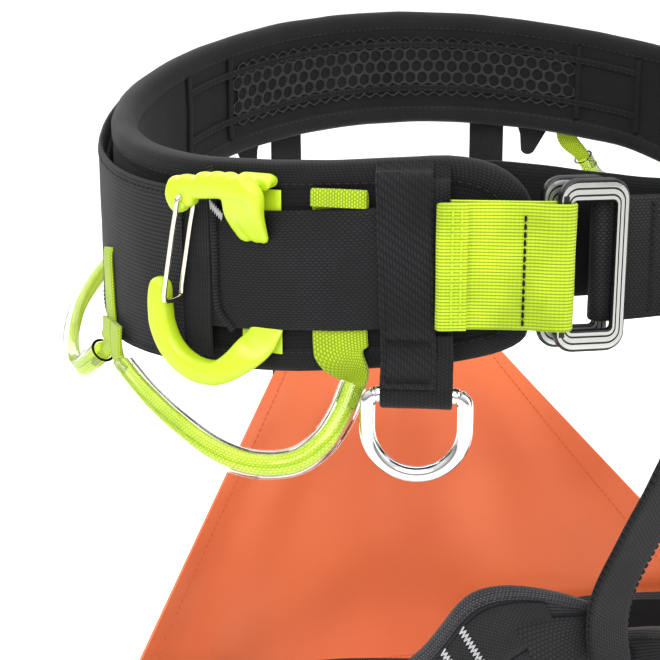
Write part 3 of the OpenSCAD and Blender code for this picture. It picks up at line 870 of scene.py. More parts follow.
def joined(name: str, pieces: Sequence[bpy.types.Object]) -> bpy.types.Object:
    """The pieces as one object."""
    shape = bmesh.new()
    first = pieces[0]
    materials = []
    for piece in pieces:
        start = len(shape.faces)
        shape.from_mesh(piece.data)
        shape.faces.ensure_lookup_table()
        local = []
        for m in piece.data.materials:
            if m not in materials:
                materials.append(m)
            local.append(materials.index(m))
        for f in shape.faces[start:]:
            f.material_index = local[min(f.material_index, len(local) - 1)]
    mesh = bpy.data.meshes.new(name)
    shape.to_mesh(mesh)
    shape.free()
    for m in materials:
        mesh.materials.append(m)
    for piece in pieces:
        bpy.data.objects.remove(piece)
    made = bpy.data.objects.new(name, mesh)
    bpy.context.scene.collection.objects.link(made)
    return made


def fix(
    piece: bpy.types.Object,
    body: str,
    stands_for: Iterable[str] = (),
) -> bpy.types.Object:
    """Says where a piece belongs.

    Args:
        piece: The piece, in place.
        body: The CAD body that it moves with.
        stands_for: The CAD nodes that it replaces.

    Returns:
        The piece.
    """
    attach(piece, body)
    nodes = list(stands_for)
    if nodes:
        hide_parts(*nodes)
    LOG.info("%s on %s", piece.name, body)
    return piece


# -------------------------------------------------------------- belt and pads


@dataclass
class HipPad:
    """Foam pad with a knitted lining, a cloth face, a bound edge and a mesh panel at the back."""

    thick: float = 9.0
    edge: float = 9.0
    crown: float = 0.5
    seam_angles: tuple[float, ...] = (134.0, 145.5, 214.5, 226.0)
    cell: float = 6.8
    rib: float = 0.62

    def build(self) -> None:
        """Makes the pad, its edge tape, stitches and mesh."""
        self.body()
        self.binding()
        self.mesh_panel()
        self.seams()

    def body(self) -> None:
        """The foam pad in its two cloths."""
        count = 17
        rings = []
        for f, share in WAIST.stations(5.1):
            low = WAIST.edge_z(f, share, 5.1, top=False)
            high = WAIST.edge_z(f, share, 5.1, top=True)
            dent = sum(0.8 * bump((f - s) * 3, 0, 1.6) for s in self.seam_angles)
            inner, outer = [], []
            for i in range(count):
                t = i / (count - 1)
                z = low + (high - low) * t
                puff = 1 - (2 * t - 1) ** 4
                inner.append(WAIST.at(f, dent - self.crown * puff, z))
                outer.append(WAIST.at(f, self.thick + self.crown * puff, z))
            rings.append(inner + outer[::-1])
        pad = lofted(
            "hip_pad",
            settle(np.array(rings), 0.35),
            [LINING, PAD_FACE],
            finish_of=lambda j: 0 if j < count - 1 else 1,
        )
        fix(pad, "belt", ["pad_core", "pad_shell", "pad_lining"])

    def edge_line(self, inset: float, out: float) -> np.ndarray:
        """The line round the pad at that inset, as a closed line."""
        stations = WAIST.stations(inset)
        top = [WAIST.at(f, out, WAIST.edge_z(f, s, inset, True)) for f, s in stations]
        bottom = [WAIST.at(f, out, WAIST.edge_z(f, s, inset, False)) for f, s in stations]
        return np.array(top + bottom[::-1])

    def binding(self) -> None:
        """Broad twill tape, folded over the edge and rolled by the foam inside it."""
        e, t = self.edge, self.thick
        section = [
            (e + 0.4, 0.3), (e - 0.6, -0.5), (e * 0.62, -0.85), (e * 0.3, -0.75), (0.9, 0.2),
            (0.0, 1.8), (-0.45, t * 0.35), (-0.45, t * 0.65), (0.0, t - 1.6), (0.9, t + 0.1),
            (e * 0.3, t + 0.75), (e * 0.62, t + 0.8), (e - 0.6, t + 0.6), (e + 0.4, t - 0.2),
            (e - 0.8, t - 0.8), (e * 0.5, t * 0.5), (e - 0.8, 0.9),
        ]
        lines = [self.edge_line(max(inset, -0.45), out) for inset, out in section]
        rings = np.stack(lines, axis=1)
        tape = lofted("pad_edge_tape", settle(rings, 0.35), [BINDING], loop=True, sharp=70)
        fix(tape, "belt", ["pad_binding"])
        for label, out, way in (("inner", -0.5, -1), ("outer", t + 0.5, 1)):
            line = self.edge_line(self.edge - 1.4, out)
            away = unit(line * vec(1, 1, 0)) * way
            thread = stitched(f"pad_edge_stitch_{label}", line, away, SOFT_THREAD, 3.4, 2.4, 0.26)
            fix(thread, "belt")

    def rear_line(self) -> tuple[np.ndarray, np.ndarray]:
        """Angles over the back, and the distance along the inner face for each."""
        angles = np.linspace(120, 240, 241)
        line = np.array([WAIST.plan(f, 0, 0) for f in angles])
        far = np.concatenate([[0], np.cumsum(np.linalg.norm(np.diff(line, axis=0), axis=1))])
        return angles, far - far[len(far) // 2]

    def mesh_panel(self) -> None:
        """Printed hexagons over the small of the back, three whole rows in a sewn channel."""
        angles, far = self.rear_line()
        half = float(np.interp(214.3, angles, far))
        rise = self.cell * math.sqrt(3) / 2
        outer_r = self.cell / math.sqrt(3)
        inner_r = outer_r - self.rib - 0.35
        points: list[np.ndarray] = []
        faces: list[tuple[int, ...]] = []
        uvs: list[tuple[float, float]] = []
        steps = 12
        columns = int(half / self.cell) + 1
        for row in range(-3, 4):
            for column in range(-columns, columns + 1):
                u0 = (column + (0.5 if row % 2 else 0)) * self.cell
                v0 = row * rise + 1
                if abs(u0) > half - 2.5 or abs(v0 - 1) > 16.5:
                    continue
                base = len(points)
                for ring in range(3):
                    for i in range(steps):
                        a = 2 * math.pi * i / steps + math.pi / 6
                        corner = outer_r if i % 2 == 0 else outer_r * math.cos(math.pi / 6)
                        r = (corner, inner_r, inner_r - 0.1)[ring]
                        u, v = u0 + r * math.cos(a), v0 + r * math.sin(a)
                        f = float(np.interp(u, far, angles))
                        proud = (-1.55, -1.2, -0.35)[ring]
                        points.append(WAIST.at(f, proud, WAIST.middle(f) + v))
                for ring in range(2):
                    for i in range(steps):
                        m = (i + 1) % steps
                        a, b = base + ring * steps, base + (ring + 1) * steps
                        faces.append((a + i, a + m, b + m, b + i))
                        uvs += [(u0 * MM + i * 0.002, v0 * MM), (u0 * MM + i * 0.002 + 0.002, v0 * MM)]
                        uvs += [
                            (u0 * MM + i * 0.002 + 0.002, v0 * MM + 0.001),
                            (u0 * MM + i * 0.002, v0 * MM + 0.001),
                        ]
        mesh = bpy.data.meshes.new("back_mesh")
        mesh.from_pydata((np.asarray(points) * MM).tolist(), [], faces)
        layer = mesh.uv_layers.new(name="UVMap")
        layer.data.foreach_set("uv", np.asarray(uvs, np.float32).ravel())
        mesh.materials.append(MESH_RIB.material())
        shape = bmesh.new()
        shape.from_mesh(mesh)
        bmesh.ops.remove_doubles(shape, verts=shape.verts, dist=0.05 * MM)
        bmesh.ops.recalc_face_normals(shape, faces=shape.faces)
        shape.to_mesh(mesh)
        shape.free()
        mesh.shade_smooth()
        piece = bpy.data.objects.new("back_mesh", mesh)
        bpy.context.scene.collection.objects.link(piece)
        fix(piece, "belt", ["lumbar_mesh"])

    def seams(self) -> None:
        """Sewn channels above and below the mesh, and the upright seams beside it."""
        for label, lift in (("upper", 12.3), ("lower", -10.3)):
            line = np.array([WAIST.at(f, -1.0, WAIST.middle(f) + lift) for f in np.arange(134, 226.1, 1.0)])
            away = -unit(line * vec(1, 1, 0))
            rings = swept(line, UP, flat_section(3.4, 1.3, 5))
            fix(lofted(f"channel_{label}", settle(rings, 0.3), [LINING]), "belt")
            for k, shift in (("a", 1.1), ("b", -1.1)):
                thread = stitched(
                    f"channel_stitch_{label}_{k}", line + away * 0.6 + UP * shift, away, SOFT_THREAD, 3,
                    2.1, 0.22
                )
                fix(thread, "belt")
        for i, f in enumerate(self.seam_angles):
            low, high = WAIST.middle(f) - 19, WAIST.middle(f) + 20
            line = np.array([WAIST.at(f, -0.9, z) for z in np.linspace(low, high, 24)])
            rings = swept(line, WAIST.along(f), flat_section(3.0, 1.4, 5))
            fix(lofted(f"upright_seam_{i + 1}", settle(rings, 0.3), [LINING]), "belt")


@dataclass
class Tongue:
    """Thin padded tongue behind the front strap."""

    reach: float = 30.0
    inner: float = -4.2
    outer: float = -0.9

    def build(self) -> None:
        """Makes the tongue with its rolled top and bottom."""
        rings = []
        section = [
            (0.0, 0.3), (0.0, 0.7), (0.03, 0.95), (0.1, 1.0), (0.3, 0.95), (0.5, 0.93), (0.7, 0.95),
            (0.9, 1.0), (0.97, 0.95), (1.0, 0.7), (1.0, 0.3), (0.97, 0.05), (0.9, 0.0), (0.7, 0.05),
            (0.5, 0.08), (0.3, 0.05), (0.1, 0.0), (0.03, 0.05),
        ]
        for f in np.arange(-self.reach, self.reach + 0.1, 1.5):
            top = -11 - 9 * math.cos(math.radians(3 * f)) ** 2
            rings.append(
                [
                    WAIST.at(f, self.inner + (self.outer - self.inner) * o, -62 + (top + 62) * t)
                    for t, o in section
                ]
            )
        piece = lofted("front_tongue", settle(np.array(rings), 0.3), [PAD_FACE])
        fix(piece, "belt", ["front_pad"])


@dataclass
class BeltBand:
    """A strip that follows the belt, set by its place at each angle."""

    name: str
    start: float
    end: float
    inner: float
    thick: float
    low: Callable[[float], float]
    high: Callable[[float], float]
    finish: Woven
    nodes: tuple[str, ...] = ()
    step: float = 1.5
    stitch: float | None = None
    thread: Finish = BLACK_THREAD

    def build(self) -> bpy.types.Object:
        """Makes the strip, with a line of stitches inside each edge if it has one."""
        rings = []
        angles = np.linspace(self.start, self.end, max(3, int(abs(self.end - self.start) / self.step) + 1))
        for f in angles:
            low, high = self.low(f), self.high(f)
            middle = (low + high) / 2
            section = flat_section(high - low, self.thick, 15, 0.15)
            rings.append([WAIST.at(f, self.inner + self.thick / 2 + b, middle + a) for a, b in section])
        piece = lofted(self.name, settle(np.array(rings), 0.3), [self.finish])
        fix(piece, "belt", self.nodes)
        if self.stitch is not None:
            for label, edge, way in (("upper", self.high, -1), ("lower", self.low, 1)):
                line = np.array(
                    [
                        WAIST.at(f, self.inner + self.thick + 0.1, edge(f) + way * self.stitch)
                        for f in angles
                    ]
                )
                away = unit(line * vec(1, 1, 0))
                thread = stitched(
                    f"{self.name}_stitch_{label}", settle(line, 0.3), away, self.thread, 3.2, 2.3, 0.25
                )
                fix(thread, "belt")
        return piece


@dataclass
class Bands:
    """The waist webbing and the wide support band over it."""

    webbing: float = 45.0

    def build(self) -> None:
        """Makes both bands and the hemmed slots that the webbing comes out of."""
        BeltBand(
            "support_band_cloth", 69.5, 290.5, 13.5, 2.0,
            lambda f: WAIST.rim(f) - WAIST.pad_height(f) + 2.8,
            self.band_top, BAND_CLOTH, ("support_band",), stitch=3.0,
        ).build()
        BeltBand(
            "waist_strap", 35, 325, 11.1, 2.0,
            lambda f: WAIST.middle(f) - self.webbing / 2,
            lambda f: WAIST.middle(f) + self.webbing / 2,
            SMOOTH_WEBBING, ("waist_webbing",),
        ).build()
        for side in Side:
            self.slot_cover(side)

    def band_top(self, f: float) -> float:
        """The top of the support band: lower at its front ends."""
        g = min(f, 360 - f)
        return WAIST.rim(f) - (10.7 + (4 - 10.7) * smooth((g - 90) / 60))

    def slot_cover(self, side: Side) -> None:
        """Ribbed flap whose rolled front edge lets the webbing out."""
        rows = np.arange(65.0, 72.1, 1.0)
        rings = []
        for f in rows:
            high = WAIST.rim(f) - 9.6
            low = WAIST.rim(f) - WAIST.pad_height(f) + 6
            section = flat_section(high - low, 1.0, 13)
            rings.append([WAIST.at(f, 13.75 + b, (high + low) / 2 + a) for a, b in section])
        flap = lofted(f"slot_flap_{side.tag}", settle(side.place(np.array(rings)), 0.3), [RIBBED])
        fix(flap, "belt")
        line = [(65.2, -13.5), (64.5, -20), (64.3, -45), (64.2, -62), (63.6, -70), (61.5, -76.5)]
        path = curve([WAIST.at(f, 13.9 - max(0, (65 - f) * 0.25), z) for f, z in line], 2.5)
        hem = bead(f"slot_hem_{side.tag}", settle(side.place(path), 0.3), 1.35, RIBBED)
        fix(hem, "belt")


def strap(
    name: str,
    path: Sequence[Sequence[float]],
    side: np.ndarray,
    width: float,
    thick: float,
    finish: Woven,
    hand: Side = Side.RIGHT,
    step: float = 1.6,
    size: Callable[[float], tuple[float, float]] | None = None,
    crown: float = 0.12,
) -> bpy.types.Object:
    """A length of webbing along a path.

    Args:
        name: The piece's name.
        path: Points on its middle line.
        side: The direction across it.
        width: Its width.
        thick: Its thickness.
        finish: Its weave.
        hand: The side of the harness it is on.
        step: The distance between rings.
        size: For a share of the way, how much wider and thicker it is.
        crown: How far its outer face stands up in the middle.

    Returns:
        The object.
    """
    line = curve(path, step)
    grow = None
    if size:
        grow = np.array([size(i / (len(line) - 1)) for i in range(len(line))])
    rings = swept(line, side, flat_section(width, thick, 11, crown), size=grow)
    return lofted(name, settle(hand.place(rings), 0.25), [finish])


# ----------------------------------------------------- straps, tabs and rings


@dataclass
class RearStraps:
    """The two straps that carry the seat panel, and the slotted tabs beside them."""

    strap_angle: float = 161.2
    width: float = 19.0
    tab_angle: float = 152.4

    def build(self) -> None:
        """Makes both sides."""
        for side in Side:
            self.riser(side)
            self.tab(side)

    def riser(self, side: Side) -> None:
        """A strap from inside the belt to the panel, sewn there with a boxed seam."""
        f = self.strap_angle
        heights = [
            (-4, 10.2), (-40, 10.2), (-90, 10.0), (-140, 9.9), (-150, 10.9), (-158, 10.9), (-172, 11.4)
        ]
        path = [WAIST.flat(f, 0, out, z) for z, out in heights]
        piece = strap(f"rear_strap_{side.tag}", path, WAIST.along(f), self.width, 1.3, WEBBING, side, 3)
        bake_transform(piece)
        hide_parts(f"rear_riser_{side.tag}")
        for i, z in enumerate((-157, -167)):
            a = side.place(WAIST.flat(f, -7, 12.2, z))
            b = side.place(WAIST.flat(f, 7, 12.2, z))
            tack = tacked(
                f"rear_strap_tack_{i + 1}_{side.tag}", a, b - a, vec(0, 0, -3.2), 26, GREY_THREAD, 0.3
            )
            fix(tack, "leg_section")

    def tab(self, side: Side) -> None:
        """A cloth tab with a slot, folded double, below the pad."""
        f = self.tab_angle
        middle_z = -30
        outline = [(-11.5, 12), (-11.5, -2), (-8.5, -11)]
        outline += arc(-4, -18, 4.2, 205, 335, 8)
        outline += [(6, -9), (11.5, -2), (11.5, 12)]
        slot = [(-1.6, -7), (-1.5, -11.5), (0.0, -12.4), (1.0, -11.5), (1.0, -7), (-0.3, -6.2)]
        outer = np.array(outline)
        centre = outer.mean(axis=0)
        shape = bmesh.new()
        rings = []
        for out, grow in ((9.85, 0.96), (10.0, 1.0), (10.7, 1.0), (10.85, 0.96)):
            ring = []
            for x, z in centre + (outer - centre) * grow:
                ring.append(shape.verts.new(side.place(WAIST.flat(f, x, out, middle_z + z)) * MM))
            rings.append(ring)
        n = len(outer)
        for a, b in zip(rings, rings[1:]):
            for j in range(n):
                shape.faces.new((a[j], a[(j + 1) % n], b[(j + 1) % n], b[j]))
        for ring in (rings[0], rings[-1]):
            shape.faces.new(ring)
        uv = shape.loops.layers.uv.new("UVMap")
        for face in shape.faces:
            for corner in face.loops:
                corner[uv].uv = (corner.vert.co.x, corner.vert.co.z)
        bmesh.ops.recalc_face_normals(shape, faces=shape.faces)
        mesh = bpy.data.meshes.new(f"rear_tab_{side.tag}")
        shape.to_mesh(mesh)
        shape.free()
        mesh.materials.append(BAND_CLOTH.material())
        piece = bpy.data.objects.new(mesh.name, mesh)
        bpy.context.scene.collection.objects.link(piece)
        fix(piece, "belt", [f"accessory_tab_{side.tag}"])
        line = curve([side.place(WAIST.flat(f, x, 10.95, middle_z + z)) for x, z in slot], 0.8, loop=True)
        fix(bead(f"rear_tab_slot_{side.tag}", line, 0.55, SOFT_THREAD, loop=True), "belt")


@dataclass
class WaistBuckles:
    """Two-frame buckles, the lime webbing through them, and the front strap between them."""

    angle: float = 17.6
    level: float = -45.3
    bar: tuple[float, float] = (-10.5, 20.8)
    rear_place: tuple[float, float] = (-3.9, 13.5)
    rear_roll: tuple[float, float] = (6.6, 13.5)
    lime_width: float = 46.0
    strap_level: float = -44.6

    def build(self) -> None:
        """Makes both buckles and the webbing."""
        self.front_strap()
        for side in Side:
            self.lime(side)
            at = side.place(WAIST.flat(self.angle, 0, self.bar[1], self.level))
            back = side.place(WAIST.flat(self.angle, *self.rear_place, self.level))
            x = unit(side.place(WAIST.along(self.angle)))
            out = unit(side.place(WAIST.outward(self.angle)))
            frame = BuckleFrame(width=26, height=62.7, window_w=16, window_h=47)
            front = frame.build(f"waist_buckle_front_{side.tag}", at, x, UP, out, bar=self.bar[0])
            fix(front, f"buckle_frame_{side.tag}", [f"buckle_frame_{side.tag}"])
            rear = frame.build(f"waist_buckle_rear_{side.tag}", back, x, UP, out)
            fix(rear, "belt", [f"buckle_receiver_{side.tag}"])

    def lime(self, side: Side) -> None:
        """Lime webbing from under the ring strap, round the front frame's bar and back."""
        f = self.angle
        path = [
            WAIST.plan(a, 0, 14.2 + d)
            for a, d in ((39.5, 0), (37.5, 0), (35, 0.1), (30, 0.9), (27, 1.9))
        ]
        path.append(WAIST.plan(f, -19, 16.6))
        path += [WAIST.plan(f, x, v) for x, v in arc(self.bar[0], self.bar[1], 3.6, -90, 90, 8)]
        path += [WAIST.plan(f, -16, 23.2), WAIST.plan(f, -23.5, 19.9)]
        path += [WAIST.plan(a, 0, v) for a, v in ((30, 19.2), (32, 19.6), (33.6, 20.1), (34.2, 20.6))]
        path += [WAIST.plan(a, 0, v) for a, v in ((34.4, 21.6), (33.9, 22.0), (32.6, 21.6), (31.2, 21.3))]
        line = [np.append(p, self.level) for p in path]
        piece = strap(f"lime_webbing_{side.tag}", line, UP, self.lime_width, 1.6, LIME, side, 1.2)
        fix(piece, "belt", [f"adjuster_webbing_{side.tag}"])
        for i, (angle, out) in enumerate(((32.9, 22.6), (31.9, 22.3))):
            base = [WAIST.at(angle, out, z) for z in np.linspace(self.level - 21, self.level + 21, 30)]
            away = side.place(WAIST.outward(angle))
            row = stitched(
                f"lime_hem_stitch_{i + 1}_{side.tag}", side.place(np.array(base)), away, LIME_THREAD, 2.6,
                2.1, 0.4,
            )
            fix(row, "belt")
        base = [
            WAIST.flat(f, -24.6, 20.9, z)
            for z in np.linspace(self.level - 21.5, self.level + 21.5, 30)
        ]
        row = stitched(
            f"lime_seam_{side.tag}", side.place(np.array(base)), side.place(WAIST.outward(f)),
            BLACK_THREAD, 2.9, 2.3, 0.5,
        )
        fix(row, "belt")

    def front_strap(self) -> None:
        """Black webbing from one buckle to the other, rolled round each rear frame's bar."""
        f = self.angle
        end = [WAIST.plan(f, x, v) for x, v in arc(*self.rear_roll, 3.7, 90, 270, 10)]
        end += [WAIST.plan(f, 10, 10.4)] + [WAIST.plan(a, 0, 12.2) for a in (13, 10, 7)]
        half = end[::-1] + [WAIST.plan(f, 9, 16.4)]
        half += [WAIST.plan(a, 0, 15.4 if a > 10 else 14.4) for a in (11, 7, 3)]
        other = [p * vec(-1, 1) for p in half[::-1]]
        line = [np.append(p, self.strap_level) for p in half + other]
        piece = strap("front_strap_webbing", line, UP, 45, 1.7, WEBBING, step=1.4)
        fix(piece, "belt", ["front_strap"])
        for side in Side:
            base = side.place(WAIST.at(10.2, 16.4, self.strap_level - 20.5))
            shift = side.place(WAIST.along(10.2)) * 1.7
            tack = tacked(
                f"front_strap_seam_{side.tag}", base, vec(0, 0, 41), shift, 34, BLACK_THREAD, 0.45
            )
            fix(tack, "belt")


@dataclass
class BuckleFrame:
    """One flat frame of a buckle: forged alloy, anodised black, its face milled bright."""

    width: float
    height: float
    window_w: float
    window_h: float
    thick: float = 4.0
    corner: float = 7.0

    def outline(self, w: float, h: float, r: float) -> list[tuple[float, float]]:
        """A rounded rectangle with the same number of points at any size."""
        points = []
        for cx, cy, start in ((1, -1, -90), (1, 1, 0), (-1, 1, 90), (-1, -1, 180)):
            points += arc(cx * (w / 2 - r), cy * (h / 2 - r), r, start, start + 90, 7)
        return points

    def build(
        self,
        name: str,
        at: np.ndarray,
        x: np.ndarray,
        y: np.ndarray,
        out: np.ndarray,
        bar: float | None = None,
    ) -> bpy.types.Object:
        """Makes the frame.

        Args:
            name: The piece's name.
            at: Its centre.
            x: Its direction across.
            y: Its direction up.
            out: The direction that its bright face looks.
            bar: Where its round bar stands across it, if it has one.

        Returns:
            The object.
        """
        outer = np.array(self.outline(self.width, self.height, self.corner))
        inner = np.array(self.outline(self.window_w, self.window_h, 1.6))
        t = self.thick / 2
        # Share of the way in, height, and finish: a bright face with two thin cut lines
        profile = [
            (0.0, -t + 1.0, 1), (0.14, -t, 1), (0.86, -t, 1), (1.0, -t + 0.7, 1), (1.0, t - 0.6, 1),
            (0.93, t, 0), (0.78, t, 0), (0.76, t - 0.35, 1), (0.71, t - 0.35, 1), (0.69, t, 0),
            (0.47, t, 0), (0.45, t - 0.35, 1), (0.4, t - 0.35, 1), (0.38, t, 0), (0.16, t, 0),
            (0.06, t - 0.4, 1), (0.0, t - 1.2, 1),
        ]
        rings = []
        for a, b in zip(outer, inner):
            ring = []
            for share, high, _ in profile:
                p = a + (b - a) * share
                ring.append(at + p[0] * x + p[1] * y + high * out)
            rings.append(ring)
        kinds = [kind for _, _, kind in profile]
        kinds = [max(kind, after) for kind, after in zip(kinds, kinds[1:] + kinds[:1])]
        alloys = [FACE_ALLOY, DARK_ALLOY]
        frame = lofted(name, np.array(rings), alloys, loop=True, finish_of=lambda j: kinds[j], sharp=28)
        if bar is None:
            return frame
        ends = [at + bar * x + s * (self.window_h / 2 + 2) * y for s in (-1, 1)]
        rod = lofted(name + "_bar", swept(np.linspace(*ends, 6), x, round_section(2.3, 20)), [DARK_ALLOY])
        return joined(name, [frame, rod])


@dataclass
class SideRings:
    """The doubled strap, its twill keeper and the steel D-ring in its fold."""

    angle: float = 36.6
    bar_z: float = -93.0
    bar_out: float = 20.2
    wire: float = 2.9
    half: float = 17.8
    drop: float = 12.5

    def build(self) -> None:
        """Makes both sides."""
        for side in Side:
            self.ring(side)
            self.straps(side)

    def place(self, x: float, out: float, z: float) -> np.ndarray:
        """A point in the strap's flat frame, in which the strap leans a little."""
        lean = 3.2 * max(0.0, 1 + z / 80)
        return WAIST.flat(self.angle, x - lean, out, z)

    def straps(self, side: Side) -> None:
        """The grosgrain strap, sewn back on itself, with the twill tape over it."""
        v = 16.1
        along = WAIST.along(self.angle)
        fold = [(o, z) for o, z in arc(self.bar_out, self.bar_z, 4.1, 180, 360, 10)]
        line = [(10.6, -11), (12.4, -15.5), (v, -20.5), (v, -60)] + fold
        line += [(24.2, -89.5), (v + 3, -80), (v + 2, -76), (v + 2, -71.5)]
        line = [self.place(0, o, z) for o, z in line]
        piece = strap(
            f"ring_strap_webbing_{side.tag}", line, along, 26, 1.6, STRAP_WEBBING, side
        )
        fix(piece, "belt", [f"ring_strap_{side.tag}"])
        line = [(11.0, -9.6), (13.4, -12.5), (v + 1.7, -18.5), (v + 1.8, -64)]
        line += [(v + 3.7, -71), (v + 3.8, -75.5), (v + 5, -80.5), (26.2, -89)]
        line = [self.place(-3, o, z) for o, z in line]
        tape = strap(
            f"keeper_tape_weave_{side.tag}", line, along, 20, 1.1, TAPE, side
        )
        fix(tape, "belt", [f"keeper_tape_{side.tag}"])
        out = side.place(WAIST.outward(self.angle))
        for k, x in (("a", -11.2), ("b", 5.2)):
            path = [
                (v + 2.4, -21), (v + 2.45, -64), (v + 4.4, -71), (v + 4.45, -75.5), (v + 5.7, -80.5),
                (26.9, -87.6),
            ]
            base = side.place(curve([self.place(x, o, z) for o, z in path], 2))
            row = stitched(f"keeper_stitch_{k}_{side.tag}", base, out, BLACK_THREAD, 2.9, 2.2, 0.26)
            fix(row, "belt")
        for i, z in enumerate((-74.4, -86.5)):
            depth = v + 4.6 if i == 0 else 26.0
            a, b = side.place(self.place(-11, depth, z)), side.place(self.place(5, depth, z))
            tack = tacked(
                f"keeper_tack_{i + 1}_{side.tag}", a, b - a, vec(0, 0, 1.6), 30, BLACK_THREAD, 0.32
            )
            fix(tack, "belt")

    def ring(self, side: Side) -> None:
        """Round steel wire bent to a D, its joint hidden in the strap, polished all over."""
        h, d = self.half, self.drop
        line = [(-h + 4, 0), (h - 4, 0)]
        line += arc(h - 4, -4, 4, 80, 10, 4)
        line += arc(0, -d, h, 0, -180, 24)
        line += arc(-h + 4, -4, 4, 170, 100, 4)
        path = curve([self.place(x, self.bar_out, self.bar_z + z) for x, z in line], 1.2, loop=True)
        rings = swept(path, WAIST.outward(self.angle), round_section(self.wire, 24), loop=True)
        piece = lofted(f"side_ring_{side.tag}", side.place(rings), [STEEL], loop=True, sharp=80)
        fix(piece, f"side_ring_{side.tag}", [f"d_ring_{side.tag}"])


@dataclass
class GearLoops:
    """Gear loops: clear tube over lime webbing, sewn to lime tabs at both ends."""

    tube_r: float = 5.5
    wall: float = 1.2
    front: tuple[tuple[float, float, float], ...] = (
        (-131, -107, -93), (-137, -109.5, -103), (-145, -111, -112), (-155, -108, -119), (-167, -100, -121),
        (-177, -88, -119), (-185, -70, -114), (-191, -45, -108), (-194, -20, -102),
    )
    rear: tuple[tuple[float, float, float], ...] = (
        (-195, 8, -102), (-198, 15, -108), (-200, 25, -113), (-199, 42, -113), (-194, 62, -107),
        (-183, 83, -97), (-165, 102, -86), (-142, 116, -77), (-122, 122, -67), (-111, 121, -54),
    )

    def build(self) -> None:
        """Makes the four loops and their tabs."""
        for side in Side:
            self.loop(side, "front", self.front)
            self.loop(side, "rear", self.rear)
            self.front_tab(side)
            self.side_tab(side)
            self.rear_tab(side)

    def loop(self, side: Side, name: str, route: Sequence[Sequence[float]]) -> None:
        """A tube with its webbing and the lime tracer threads in the webbing."""
        body = f"gear_loop_{name}_{side.tag}"
        line = curve(route, 2.0)
        outer = swept(line, UP, round_section(self.tube_r, 20))
        inner = swept(line, UP, round_section(self.tube_r - self.wall, 20))
        # The section runs out along the tube, round its lip and back inside: a true hollow wall
        wall = np.concatenate([outer, inner[::-1]], axis=0)
        tube = lofted(f"loop_tube_{name}_{side.tag}", side.place(wall), [TUBE], loop=True, sharp=60)
        fix(tube, body, [f"gear_tube_{name}_{side.tag}"])
        # The webbing inside the tube uses the brightened tape: painted light for the light the tube blocks.
        webbing = strap(
            f"loop_webbing_{name}_{side.tag}", line, UP, 7.8, 3.8, LOOP_TAPE_PAINTED_LIGHT, side, 2, crown=0.4
        )
        fix(webbing, body, [f"gear_webbing_{name}_{side.tag}"])
        across, out = frames(line, UP)
        for k, way in (("a", 1), ("b", -1)):
            edge = side.place(line + out * way * 2.25)
            tracer = bead(f"loop_tracer_{name}_{k}_{side.tag}", edge, 0.22, LIME_THREAD)
            fix(tracer, body)

    def front_tab(self, side: Side) -> None:
        """The tab's rolled fold above the webbing, and its gathered end going into the tube."""
        f = 46.5
        along = WAIST.along(f)
        path = [(10.2, -30), (10.3, -24), (10.9, -21.3), (12.0, -20.6), (12.9, -21.8), (12.9, -26.5)]
        fold = strap(
            f"front_tab_fold_{side.tag}", [WAIST.flat(f, 0, o, z) for o, z in path],
            along, 21, 1.2, LIME_TAPE, side, 0.7,
        )
        fix(fold, "belt", [f"gear_tab_front_{side.tag}"])
        end = vec(*self.front[0])
        into = unit(vec(*self.front[1]) - end)
        path = [WAIST.flat(f, 0, 10.3, -66), WAIST.flat(f, 0, 10.5, -76), WAIST.flat(f, 1.6, 11.6, -83)]
        path += [end - into * 3 + vec(0, 0, 0.6), end + into * 2, end + into * 8]

        def gather(t: float) -> tuple[float, float]:
            """How much wider and thicker the tab is, a share t of the way into the tube."""
            pull = min(1.0, max(0.0, (t - 0.4) / 0.34))
            return 1 - 0.62 * pull, 1 + 0.8 * pull

        tab = strap(
            f"front_tab_gather_{side.tag}", path, along, 21, 1.5, LIME_TAPE, side, 1.0, gather, 0.15
        )
        start, stop = side.place(WAIST.flat(f, 0, 10.5, -80)), side.place(end)
        f"gear_loop_front_{side.tag}"
        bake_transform(tab)
        a = side.place(WAIST.flat(f, -8.5, 11.4, -80.5))
        b = side.place(WAIST.flat(f, 8.5, 11.4, -80.5))
        tack = tacked(f"front_tab_tack_{side.tag}", a, b - a, vec(0, 0, -2.6), 24, LIME_THREAD, 0.34)
        fix(tack, "belt")

    def side_tab(self, side: Side) -> None:
        """The tab on the hip that both tubes end at, with its end turned outward."""
        f = 88.0
        along = WAIST.along(f)
        path = [
            (-8.5, 15.6, -57), (-8, 16.4, -61), (-6.5, 16.7, -78), (-4, 17.2, -90), (-3, 18.6, -97),
            (-3.5, 20.6, -100.5),
        ]
        tab = strap(
            f"side_tab_{side.tag}", [WAIST.flat(f, x, o, z) for x, o, z in path],
            along, 9.5, 1.5, LIME_TAPE, side, 1.0,
        )
        fix(tab, "belt", [f"gear_tab_side_{side.tag}"])
        for name, route, order in (("front", self.front, -1), ("rear", self.rear, 1)):
            end = vec(*route[-1 if order < 0 else 0])
            near = vec(*route[-2 if order < 0 else 1])
            into = unit(near - end)
            x = 5.5 if name == "front" else -5.5
            path = [
                WAIST.flat(f, x, 18.4, -86), WAIST.flat(f, x, 18.8, -94), end - into * 4, end + into * 7
            ]
            gathered = strap(
                f"side_tab_{name}_{side.tag}", path, along, 11, 1.6, LIME_TAPE, side, 1.2,
                lambda t: (1 - 0.3 * smooth((t - 0.3) / 0.5), 1 + 0.9 * smooth((t - 0.3) / 0.5)),
            )
            start, stop = side.place(WAIST.flat(f, x, 18.8, -90)), side.place(end)
            f"gear_loop_{name}_{side.tag}"
            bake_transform(gathered)

